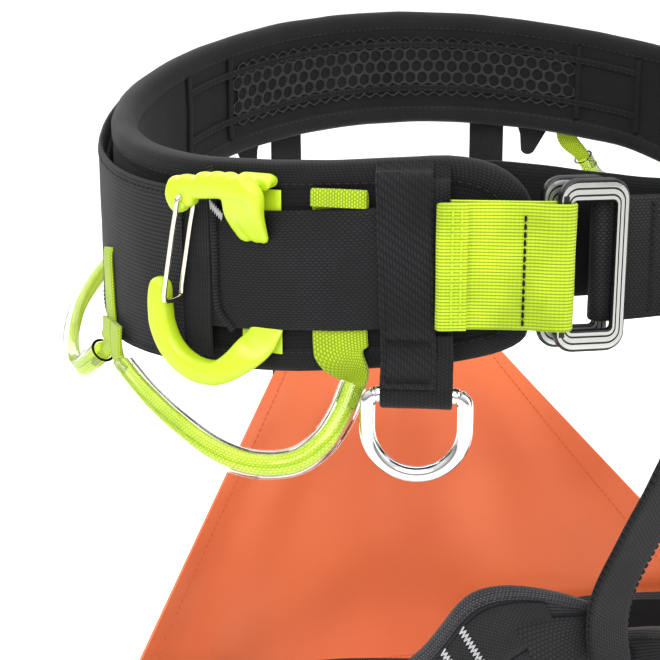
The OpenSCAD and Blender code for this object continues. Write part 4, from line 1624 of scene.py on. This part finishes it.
    def rear_tab(self, side: Side) -> None:
        """The rear tab below the belt, gathered into the tube's rear end."""
        f = 146.0
        end = vec(*self.rear[-1])
        into = unit(vec(*self.rear[-2]) - end)
        path = [
            WAIST.flat(f, -2.5, 10.2, -26), WAIST.flat(f, -2.5, 10.3, -42), end - into * 3, end + into * 8
        ]
        tab = strap(
            f"rear_tab_gather_{side.tag}", path, WAIST.along(f), 10, 1.4, LIME_TAPE, side, 1.2,
            lambda t: (1 - 0.25 * smooth((t - 0.4) / 0.4), 1 + 0.9 * smooth((t - 0.4) / 0.4)),
        )
        start, stop = side.place(WAIST.flat(f, -2.5, 10.3, -40)), side.place(end)
        f"gear_loop_rear_{side.tag}"
        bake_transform(tab)
        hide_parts(f"gear_tab_rear_{side.tag}")


# ---------------------------------------------------------------- tool holder


@dataclass
class ToolHolder:
    """Moulded hook with finger ridges, and the sprung wire gate that closes it."""

    angle: float = 63.0
    spine_angle: float = 57.5
    out: float = 21.0

    def place(self, x: float, z: float, depth: float = 0.0) -> np.ndarray:
        """A point in the holder's flat frame."""
        return WAIST.flat(self.angle, x, self.out + depth, z)

    def stroke(self, points: Sequence[tuple[float, float, float, float, float]]) -> bpy.types.Object:
        """A rounded limb.

        Args:
            points: Rows of across, height, depth out, half-width and half-depth.

        Returns:
            The limb.
        """
        data = curve(points, 1.0)
        path = np.array([self.place(x, z, d) for x, z, d, _, _ in data])
        section = []
        for i in range(20):
            a = 2 * math.pi * i / 20
            c, s = math.cos(a), math.sin(a)
            section.append((abs(c) ** 0.72 * math.copysign(1, c), abs(s) ** 0.72 * math.copysign(1, s)))
        out = np.broadcast_to(WAIST.outward(self.angle), path.shape)
        forward = unit(np.gradient(path, axis=0))
        across = unit(np.cross(out, forward))
        shape = np.array(section)
        rings = (
            path[:, None, :]
            + shape[None, :, 0, None] * data[:, None, 3, None] * across[:, None, :]
            + shape[None, :, 1, None] * data[:, None, 4, None] * out[:, None, :]
        )
        first, last = rings[0].mean(axis=0), rings[-1].mean(axis=0)
        caps = [(first, rings[0], -forward[0] * data[0, 3]), (last, rings[-1], forward[-1] * data[-1, 3])]
        ends = []
        for centre, ring, reach in caps:
            ends.append(
                [
                    centre + (ring - centre) * math.cos(a) + reach * math.sin(a) * 0.9
                    for a in (math.radians(30), math.radians(55), math.radians(75))
                ]
            )
        rings = np.concatenate([np.array(ends[0][::-1]), rings, np.array(ends[1])])
        return lofted("limb", rings, [NYLON])

    def build(self) -> None:
        """Makes the holder, its pin and its gate."""
        limbs = [
            self.stroke(
                [
                    (-11, -21.5, 0, 4.2, 3.8), (-4, -21.6, 0, 4.3, 3.9), (6, -20.3, 0, 4.6, 4),
                    (14, -20.6, 0, 4.6, 4), (19, -23, -0.4, 4.3, 3.8), (19.2, -30, -2.0, 3.4, 3.0),
                    (18.6, -39, -6.5, 3.2, 1.6),
                ],
            ),
            self.stroke(
                [(-14.3, -21.5, 0, 3.8, 3.9), (-14.6, -25, 0.2, 4.3, 4.1), (-13.2, -28.6, 0.3, 3.7, 4.1)]
            ),
            self.stroke([(-9.4, -22.6, 0, 3.4, 3.8), (-8.6, -27, 0, 2.6, 3.6)]),
            self.stroke([(15.2, -25, -0.8, 4, 3.4), (15.2, -32, -2.4, 4, 2.8), (16.5, -39, -6.5, 3.4, 1.6)]),
            self.stroke(
                [(10.2, -23, -0.6, 4.2, 3.4), (10.2, -31, -2.2, 4, 2.8), (11.5, -39, -6.5, 3.4, 1.6)]
            ),
        ]
        ridges = [(-1.5, 0.9), (4.0, 1.5), (9.5, 1.7), (15.0, 1.3)]
        for x, lift in ridges:
            z = -19.6 + lift
            limbs.append(self.stroke([(x - 1.0, z, 0, 3.0, 3.9), (x + 1.0, z, 0, 3.0, 3.9)]))
        hook = [(-24.1, -61.5, 0, 4.2, 4.0), (-24.4, -66, 0, 4.6, 4.3), (-24.2, -72, 0, 4.7, 4.5)]
        for a in (195, 215, 235, 255, 272, 288):
            r = math.radians(a)
            hook.append((-3 + 21.3 * math.cos(r), -71 + 21.3 * math.sin(r), 0, 4.8, 4.5))
        hook += [
            (9.5, -87.6, -1.2, 5.4, 3.8), (14.6, -82.6, -3.6, 6.4, 3.0), (17.2, -78.6, -7.6, 6.8, 2.0),
            (18.6, -73.5, -10.6, 6.8, 1.2),
        ]
        limbs.append(self.stroke(hook))
        spine, f = [], self.spine_angle
        for z in np.linspace(-84, -22, 20):
            spine.append([WAIST.flat(f, a, 10.3 + b, z) for a, b in flat_section(17, 0.9, 7)])
        lip = [WAIST.flat(f, 0, o, z) for o, z in ((10.5, -19), (13.5, -18.2), (17.5, -19.5))]
        lip = swept(curve(lip, 1), WAIST.along(f), flat_section(15, 5, 7))
        limbs.append(lofted("limb", lip, [NYLON]))
        holder = joined("tool_holder_moulding", limbs)
        shell = holder.modifiers.new("fused", "REMESH")
        shell.mode = "VOXEL"
        shell.voxel_size = 0.5 * MM
        blend = holder.modifiers.new("blended", "SMOOTH")
        blend.factor, blend.iterations = 0.5, 7
        self.apply(holder)
        fix(holder, "belt", ["tool_holder"])
        backing = lofted("tool_holder_spine", np.array(spine), [NYLON])
        fix(backing, "belt")
        pin = np.array([self.place(-10.5, -25.5, d) for d in (-4.6, -4.4, 0, 4.4, 4.6)])
        fix(lofted("gate_pin", swept(pin, UP, round_section(1.25, 16)), [WIRE]), "belt")
        self.gate()
        start, stop = self.place(-3.6, -27, -5), self.place(2, -31.5, -5)
        tack = tacked("holder_tack", start, stop - start, vec(0, 0, -3.2), 12, GREY_THREAD, 0.3)
        fix(tack, "belt")

    def apply(self, piece: bpy.types.Object) -> None:
        """Turns the piece's modifiers into its mesh."""
        graph = bpy.context.evaluated_depsgraph_get()
        mesh = bpy.data.meshes.new_from_object(piece.evaluated_get(graph))
        piece.modifiers.clear()
        piece.data = mesh
        if not mesh.materials:
            mesh.materials.append(NYLON.material())
        mesh.shade_smooth()

    def gate(self) -> None:
        """One bent wire: in at one eye, down, across under the hook's tip, and up to the other."""
        x0, z0, x1, z1 = -10.5, -25.5, -18.2, -66.0
        lane = 5.2
        line = [(x0, z0, -2.5), (x0, z0, -4.2), (x0 - 0.4, z0 - 1.4, -lane), (x0 - 1.2, z0 - 6, -lane)]
        line += [
            (-13.2, -38, -lane), (-15.6, -50, -lane), (-17.6, -60, -lane), (x1, z1 + 1.6, -lane),
            (x1, z1, -lane + 1.5),
        ]
        line += [(x, z, -d) for x, z, d in line[::-1]]
        path = curve([self.place(x, z, d) for x, z, d in line], 0.7)
        wire = lofted("tool_gate_wire", swept(path, vec(0.3, 0.2, 1), round_section(0.95, 12)), [WIRE])
        fix(wire, "tool_gate", ["tool_gate"])


# ------------------------------------------------ tie-in ring, leg loops, seat


@dataclass
class TieIn:
    """The tie-in ring, the loop of belt webbing that holds it, and the risers under it."""

    y: float = -162.0
    z: float = -80.25
    radius: float = 20.25
    stock: float = 8.5
    turn: float = 36.0
    route: tuple[tuple[float, float, float], ...] = (
        (-19, -161, -113), (-25, -158, -130), (-32, -152, -152),
        (-38, -145.5, -175), (-38.5, -142, -192), (-35, -141.5, -212),
    )

    def build(self) -> None:
        """Makes the ring, the holder and both risers."""
        self.ring()
        self.holder()
        for side in Side:
            self.riser(side)

    def ring(self) -> None:
        """Forged alloy, eight-sided in section with rolled corners, anodised grey."""
        w, flat = self.stock / 2, 2.4
        corners = [
            (-w, -flat), (-w, flat), (-flat, w), (flat, w), (w, flat), (w, -flat), (flat, -w), (-flat, -w)
        ]
        section = []
        for i, (a, b) in enumerate(corners):
            for other in (corners[i - 1], corners[(i + 1) % 8]):
                section.append((a + (other[0] - a) * 0.22, b + (other[1] - b) * 0.22))
        rings = []
        for i in range(96):
            a = 2 * math.pi * i / 96
            away = vec(math.cos(a), 0, math.sin(a))
            centre = vec(0, self.y, self.z) + away * self.radius
            rings.append([centre + away * p + vec(0, q, 0) for p, q in section])
        ring = lofted("tie_in_ring_forging", np.array(rings), [RING_ALLOY], loop=True, sharp=60)
        fix(ring, "leg_section", ["tie_in_ring"])

    def holder(self) -> None:
        """A loop of webbing behind the front strap, down round the ring and back."""
        line = [
            (-146.8, -24), (-150.5, -20), (-153.5, -24), (-160.5, -42), (-168.2, -55), (-169.4, -62),
            (-167, -69.5), (-161, -72.2), (-154, -72), (-149, -70.8), (-147.2, -66), (-146.8, -46),
        ]
        path = curve([(0, y, z) for y, z in line], 1.2, loop=True)
        rings = swept(path, vec(1, 0, 0), flat_section(17, 1.6, 9, 0.1), loop=True)
        band = lofted("ring_holder_loop", settle(rings, 0.25), [WEBBING], loop=True)
        fix(band, "belt", ["ring_holder"])
        for x in (-6.8, 6.8):
            base = curve([(x, -154.6, -25), (x, -161.6, -42), (x, -168.6, -53.5)], 2)
            row = stitched(
                f"ring_holder_stitch_{'a' if x < 0 else 'b'}", base, vec(0, -0.93, 0.35), SOFT_THREAD, 3,
                2.2, 0.3,
            )
            fix(row, "belt")

    def riser(self, side: Side) -> None:
        """Webbing down from the ring, doubled, with its woven edges left showing."""
        a = math.radians(self.turn)
        inward, along = vec(math.sin(a), 0, math.cos(a)), vec(math.cos(a), 0, -math.sin(a))
        centre = vec(0, self.y, self.z) - inward * self.radius
        front = vec(0, -1, 0)
        low = np.array(self.route)
        points = list((low + front * 0.95)[::-1])
        sides = [vec(1, 0, -0.2)] * (len(low) - 1) + [along]
        for degrees in range(-55, 236, 29):
            r = math.radians(degrees)
            points.append(centre + 8.1 * (math.cos(r) * front + math.sin(r) * inward))
            sides.append(along)
        points += list(low - front * 0.95)
        sides += [along] + [vec(1, 0, -0.2)] * (len(low) - 1)
        both = curve(np.hstack([np.array(points), np.array(sides)]), 1.6)
        line, across = both[:, :3], unit(both[:, 3:])
        rings = swept(line, across, flat_section(17, 1.6, 9, 0.12))
        strip = lofted(f"leg_riser_webbing_{side.tag}", settle(side.place(rings), 0.3), [WEBBING])
        fix(strip, "leg_section", [f"leg_riser_{side.tag}"])
        count = int(len(line) * 0.42)
        for k, way in (("a", 1), ("b", -1)):
            edge = side.place((line + across * way * 8.3)[:count])
            picot = stitched(
                f"riser_edge_{k}_{side.tag}", edge, side.place(across[count // 2] * way), BLACK_THREAD, 3.0,
                2.7, 0.85,
            )
            fix(picot, "leg_section")


@dataclass
class LegLoop:
    """One leg loop: a padded band, the strap sewn round it and its two-frame buckle."""

    side: Side
    upper: tuple[tuple[float, float, float], ...] = (
        (-44, -135, -184), (-88, -130, -174), (-107, -110, -208), (-146, -66, -259),
        (-172, -5, -287), (-160, 66, -303), (-112, 110, -316), (-56, 96, -316),
        (-14, 35, -294), (-9, -30, -258), (-14, -88, -228), (-20, -120, -212),
    )
    lower: tuple[tuple[float, float, float], ...] = (
        (-34, -133, -210), (-50, -128, -238), (-76, -118, -264), (-118, -86, -304),
        (-162, -12, -340), (-148, 51, -348), (-112, 97, -352), (-56, 90, -352),
        (-20, 33, -342), (-15, -32, -308), (-20, -90, -270), (-27, -119, -238),
    )
    per: int = 10
    strap_width: float = 25.0
    buckle_at: float = 3.4

    def edge(self, points: Sequence[Sequence[float]], t: float) -> np.ndarray:
        """A point on a closed edge line, t knots along it."""
        n = len(points)
        i = int(math.floor(t))
        u = t - i
        a, b, c, d = (vec(*points[(i + k) % n]) for k in (-1, 0, 1, 2))
        return 0.5 * (
            2 * b + (c - a) * u + (2 * a - 5 * b + 4 * c - d) * u**2 + (3 * b - a - 3 * c + d) * u**3
        )

    def frame(self, t: float) -> tuple[np.ndarray, np.ndarray, np.ndarray, np.ndarray]:
        """Middle, and the directions up the band, along it and out, t knots along."""
        def middle(s: float) -> np.ndarray:
            """The band's middle, s knots along."""
            return (self.edge(self.upper, s) + self.edge(self.lower, s)) / 2

        up = unit(self.edge(self.upper, t) - self.edge(self.lower, t))
        ahead = unit(middle(t + 0.2) - middle(t - 0.2))
        return middle(t), up, ahead, unit(np.cross(up, ahead))

    def at(self, t: float, across: float, out: float) -> np.ndarray:
        """A point on the band: across it from -1 to 1, and out from its middle sheet."""
        low, high = self.edge(self.lower, t), self.edge(self.upper, t)
        return (low + high) / 2 + (high - low) / 2 * across + self.frame(t)[3] * out

    def build(self) -> None:
        """Makes the loop."""
        self.pad()
        self.edges()
        self.strap()
        self.front_sewing()
        self.buckle()

    def pad(self) -> None:
        """The padded band, fuller down its middle."""
        count = 13
        n = len(self.upper) * self.per
        rings = []
        for i in range(n):
            t = i / self.per
            thin = 0.55 * max(bump(t, 0.2, 1.3), bump(t, 12, 1.3))
            inner, outer = [], []
            for k in range(count):
                a = 2 * k / (count - 1) - 1
                half = 1.5 + 1.0 * (1 - a**4) * (1 - thin)
                inner.append(self.at(t, a * 0.985, -half))
                outer.append(self.at(t, a * 0.985, half))
            rings.append(inner + outer[::-1])
        rings = self.side.place(settle(np.array(rings), 0.5, 24))
        pad = lofted(
            f"leg_pad_cloth_{self.side.tag}", rings, [LINING, LEG_CLOTH], loop=True,
            finish_of=lambda j: 0 if j < count - 1 else 1,
        )
        fix(pad, "leg_section", [f"leg_pad_{self.side.tag}"])

    def edges(self) -> None:
        """Tape folded over both edges, with its stitches."""
        n = len(self.upper) * self.per
        section = [
            (0.6, 0.0), (0.45, 1.7), (-0.6, 2.3), (-3.0, 2.15), (-4.8, 1.9), (-4.8, -1.9), (-3.0, -2.15),
            (-0.6, -2.3), (0.45, -1.7),
        ]
        for label, points, way in (("upper", self.upper, 1), ("lower", self.lower, -1)):
            rings, line, away = [], [], []
            for i in range(n):
                t = i / self.per
                _, up, _, out = self.frame(t)
                corner = self.edge(points, t)
                rings.append([corner + up * way * a + out * b for a, b in section])
                line.append(corner - up * way * 3.4 + out * 2.3)
                away.append(out)
            tape = lofted(
                f"leg_edge_{label}_{self.side.tag}", self.side.place(settle(np.array(rings), 0.5, 24)),
                [LEG_TAPE], loop=True, sharp=70,
            )
            fix(tape, "leg_section")
            thread = stitched(
                f"leg_edge_stitch_{label}_{self.side.tag}",
                self.side.place(settle(np.array(line), 0.5, 24)),
                self.side.place(np.array(away)), SOFT_THREAD, 3.1, 2.2, 0.28,
            )
            fix(thread, "leg_section")

    def strap(self) -> None:
        """The leg strap round the outside, from the thigh to the buckle at the side."""
        rings = []
        for t in np.arange(2.6, 10.01, 0.1):
            middle, up, _, out = self.frame(t)
            ease = 0.35 + 0.2 * smooth((t - 2.6) / 0.4)
            rings.append(
                [
                    middle + up * a + out * (2.0 + ease + 0.8 + b)
                    for a, b in flat_section(self.strap_width, 1.6, 11, 0.12)
                ]
            )
        piece = lofted(
            f"leg_strap_webbing_{self.side.tag}", self.side.place(settle(np.array(rings), 0.5, 24)),
            [WEBBING],
        )
        fix(piece, "leg_section", [f"leg_strap_{self.side.tag}"])
        for label, across in (("a", 9.6), ("b", -9.6)):
            line, away = [], []
            for t in np.arange(4.2, 9.8, 0.1):
                middle, up, _, out = self.frame(t)
                line.append(middle + up * across + out * 4.25)
                away.append(out)
            thread = stitched(
                f"leg_strap_stitch_{label}_{self.side.tag}",
                self.side.place(settle(np.array(line), 0.5, 24)),
                self.side.place(np.array(away)), SOFT_THREAD, 3.2, 2.3, 0.28,
            )
            fix(thread, "leg_section")

    def front_sewing(self) -> None:
        """Webbing layers on the front of the band, with pale zigzag tacks across them."""
        for i, (first, last, low, high, lift) in enumerate(
            ((0.15, 2.5, -0.62, 0.1, 0.0), (0.5, 2.5, 0.14, 0.82, 0.25), (11.2, 12.9, -0.5, 0.5, 0.5))
        ):
            rings = []
            for t in np.arange(first, last, 0.08):
                _, up, _, out = self.frame(t)
                a, b = self.at(t, low, 0), self.at(t, high, 0)
                half = np.linalg.norm(b - a) / 2
                rings.append(
                    [
                        (a + b) / 2 + up * p + out * (2.4 + lift + q)
                        for p, q in flat_section(half * 2, 1.0, 9, 0.15)
                    ],
                )
            layer = lofted(
                f"leg_front_layer_{i + 1}_{self.side.tag}",
                self.side.place(settle(np.array(rings), 0.5, 24)), [WEBBING]
            )
            fix(layer, "leg_section")
        for i, (t, low, high) in enumerate(
            ((1.36, 0.2, 0.84), (1.66, 0.2, 0.84), (1.36, -0.58, 0.0), (1.66, -0.58, 0.0), (2.2, 0.2, 0.7))
        ):
            a, b = self.side.place(self.at(t, high, 3.5)), self.side.place(self.at(t, low, 3.5))
            ahead = self.side.place(self.frame(t)[2]) * 3.0
            tack = tacked(f"leg_tack_{i + 1}_{self.side.tag}", a, b - a, ahead, 24, GREY_THREAD, 0.34)
            fix(tack, "leg_section")

    def buckle(self) -> None:
        """The two frames and the strap's tail through them."""
        t = self.buckle_at
        middle, up, ahead, out = self.frame(t)
        place = self.side.place
        frame = BuckleFrame(width=24, height=42, window_w=14, window_h=27, corner=6)
        for name, d, body, bar in (
            ("base", 6.4, "leg_section", None), ("frame", 13.4, f"leg_buckle_{self.side.tag}", -9.5)
        ):
            piece = frame.build(
                f"leg_buckle_{name}_forging_{self.side.tag}", place(middle + out * d), place(ahead),
                place(up), place(out), bar
            )
            fix(piece, body, [f"leg_buckle_{name}_{self.side.tag}"])
        line = [(-26, 5.2), (-20, 7), (-13.5, 9.4)] + arc(-9.5, 13.4, 3.6, -90, 90, 10) + [
            (-16, 15.6), (-26, 9.4), (-33, 7.2)
        ]
        path = np.array([middle + ahead * a + out * b for a, b in line])
        tail = strap(
            f"leg_tail_webbing_{self.side.tag}", path, up, self.strap_width, 1.6, WEBBING, self.side, 1.3
        )
        fix(tail, "leg_section", [f"leg_tail_{self.side.tag}"])


@dataclass
class SeatPanel:
    """The coated cloth seat that hangs from the two rear straps."""

    top: float = -152.0
    bottom: float = -362.0
    thick: float = 1.2
    rows: int = 84
    columns: int = 96

    def half(self, z: float) -> float:
        """Half its width at the height z."""
        low = min(1.0, max(0.0, (-310 - z) / 42))
        return 60 + 0.814 * min(-152 - z, 158) - 12 * low**2

    def point(self, v: float, u: float) -> np.ndarray:
        """A point v of the way down and u across from -1 to 1, with its soft upright folds."""
        z = self.top + (self.bottom + 14 * abs(u) ** 3 - self.top) * v
        across = abs(u) ** 2.2
        middle = 138 + 12 * smooth((-160 - z) / 90)
        edge = 137.5 - 0.536 * (-160 - z)
        fade = (1 - abs(u) ** 6) * smooth(v / 0.3)
        fold = 2.6 * math.cos(7.4 * u + 0.6) * math.exp(-((abs(u) - 0.42) ** 2) / 0.09)
        fold += 1.6 * math.sin(15 * u + 2.2 * v)
        return vec(self.half(z) * u, middle + (edge - middle) * across + fold * fade, z)

    def build(self) -> None:
        """Makes the panel and its hem stitches."""
        v = np.linspace(0, 1, self.rows + 1)
        u = np.linspace(-1, 1, self.columns + 1)
        grid = np.array([[self.point(a, b) for b in u] for a in v])
        down = np.gradient(grid, axis=0)
        across = np.gradient(grid, axis=1)
        away = unit(np.cross(down, across))
        if away[self.rows // 2, self.columns // 2][1] < 0:
            away = -away
        front, back = grid - away * self.thick / 2, grid + away * self.thick / 2
        rings = [np.concatenate([f, b[::-1]]) for f, b in zip(front, back)]
        panel = lofted("seat_panel_cloth", np.array(rings), [PANEL], sharp=60)
        fix(panel, "leg_section", ["seat_panel"])
        hems = self.hems(grid, away)

    def hems(self, grid: np.ndarray, away: np.ndarray) -> list[bpy.types.Object]:
        """A line of hem stitches up each side and along the top and bottom."""
        pieces = []
        inset = 5
        for label, line, normal in (
            ("right", grid[2:, inset], away[2:, inset]),
            ("left", grid[2:, -1 - inset], away[2:, -1 - inset]),
            ("top", grid[4, 3:-3], away[4, 3:-3]),
            ("bottom", grid[-1 - 4, inset:-inset], away[-1 - 4, inset:-inset]),
        ):
            base = line - normal * (self.thick / 2 + 0.1)
            thread = stitched(f"seat_hem_stitch_{label}", base, -normal, ORANGE_THREAD, 3.4, 2.5, 0.3)
            fix(thread, "leg_section")
            pieces.append(thread)
        return pieces


# ------------------------------------------------------------ stage and camera


@dataclass
class Studio:
    """A pale floor and soft boxes."""

    floor_z: float = -0.3655
    reach: float = 60.0

    def build(self) -> None:
        """Makes the floor, the world and the lights."""
        mesh = bpy.data.meshes.new("floor")
        r, z = self.reach, self.floor_z
        mesh.from_pydata([(-r, -r, z), (r, -r, z), (r, r, z), (-r, r, z)], [], [(0, 1, 2, 3)])
        material = bpy.data.materials.new("floor_paper")
        material.use_nodes = True
        shader = material.node_tree.nodes["Principled BSDF"]
        shader.inputs["Base Color"].default_value = (0.9, 0.9, 0.9, 1)
        shader.inputs["Roughness"].default_value = 0.9
        shader.inputs["Specular IOR Level"].default_value = 0.0
        shader.inputs["Emission Color"].default_value = (1, 1, 1, 1)
        shader.inputs["Emission Strength"].default_value = 0.3
        mesh.materials.append(material)
        floor = bpy.data.objects.new("floor", mesh)
        bpy.context.scene.collection.objects.link(floor)
        self.world()
        self.box("key", (-0.75, -1.15, 1.05), (1.3, 1.0), 23)
        self.box("fill", (1.3, -0.9, 0.5), (1.2, 1.4), 12)
        self.box("top", (0.1, 0.2, 1.5), (1.6, 1.6), 15)
        self.box("rim", (-0.5, 1.3, 0.6), (1.4, 0.8), 9)

    def world(self) -> None:
        """White light from above, with a darker band near the horizon for the metal to reflect."""
        world = bpy.data.worlds.new("studio")
        world.use_nodes = True
        tree = world.node_tree
        back = tree.nodes["Background"]
        back.inputs["Color"].default_value = (1, 1, 1, 1)
        place = node(tree, "ShaderNodeTexCoord")
        height = node(tree, "ShaderNodeSeparateXYZ", links={0: place.outputs["Generated"]})
        strength = node(
            tree,
            "ShaderNodeMapRange",
            {"From Min": 0.05, "From Max": 0.55, "To Min": 0.3, "To Max": 1.1},
            {"Value": height.outputs["Z"]},
        )
        tree.links.new(strength.outputs[0], back.inputs["Strength"])
        bpy.context.scene.world = world
        bpy.context.scene.view_settings.view_transform = "Standard"

    def box(
        self, name: str, place: tuple[float, float, float], size: tuple[float, float], power: float
    ) -> None:
        """A soft box aimed at the saddle."""
        light = bpy.data.lights.new(name, "AREA")
        light.shape = "RECTANGLE"
        light.size, light.size_y = size
        light.energy = power
        lamp = bpy.data.objects.new(name, light)
        lamp.location = place
        lamp.rotation_euler = (Vector((0, 0, -0.12)) - Vector(place)).to_track_quat("-Z", "Y").to_euler()
        bpy.context.scene.collection.objects.link(lamp)


@dataclass
class Camera:
    """The view from the front, a little to the wearer's right and above."""

    place: tuple[float, float, float] = (-0.3533, -0.5998, 0.0732)
    look: tuple[float, float, float] = (0.383, 0.887, -0.259)
    lens: float = 83.45

    def build(self) -> None:
        """Makes the camera and makes it the scene's."""
        data = bpy.data.cameras.new("camera")
        data.lens = self.lens
        data.sensor_width = 36
        camera = bpy.data.objects.new("camera", data)
        camera.location = self.place
        camera.rotation_euler = Vector(self.look).to_track_quat("-Z", "Y").to_euler()
        bpy.context.scene.collection.objects.link(camera)
        bpy.context.scene.camera = camera


def clear() -> None:
    """Empties the scene that Blender starts with."""
    for thing in list(bpy.data.objects):
        bpy.data.objects.remove(thing)


def main() -> None:
    """Builds the whole picture."""
    logging.basicConfig(level=logging.INFO, format="%(message)s")
    clear()
    Camera().build()
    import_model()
    for part in (
        HipPad(), Tongue(), Bands(), RearStraps(), WaistBuckles(), SideRings(), GearLoops(),
        ToolHolder(), TieIn(), LegLoop(Side.RIGHT), LegLoop(Side.LEFT), SeatPanel(), Studio(),
    ):
        part.build()
        LOG.info("made %s", type(part).__name__)


if __name__ == "__main__":
    main()
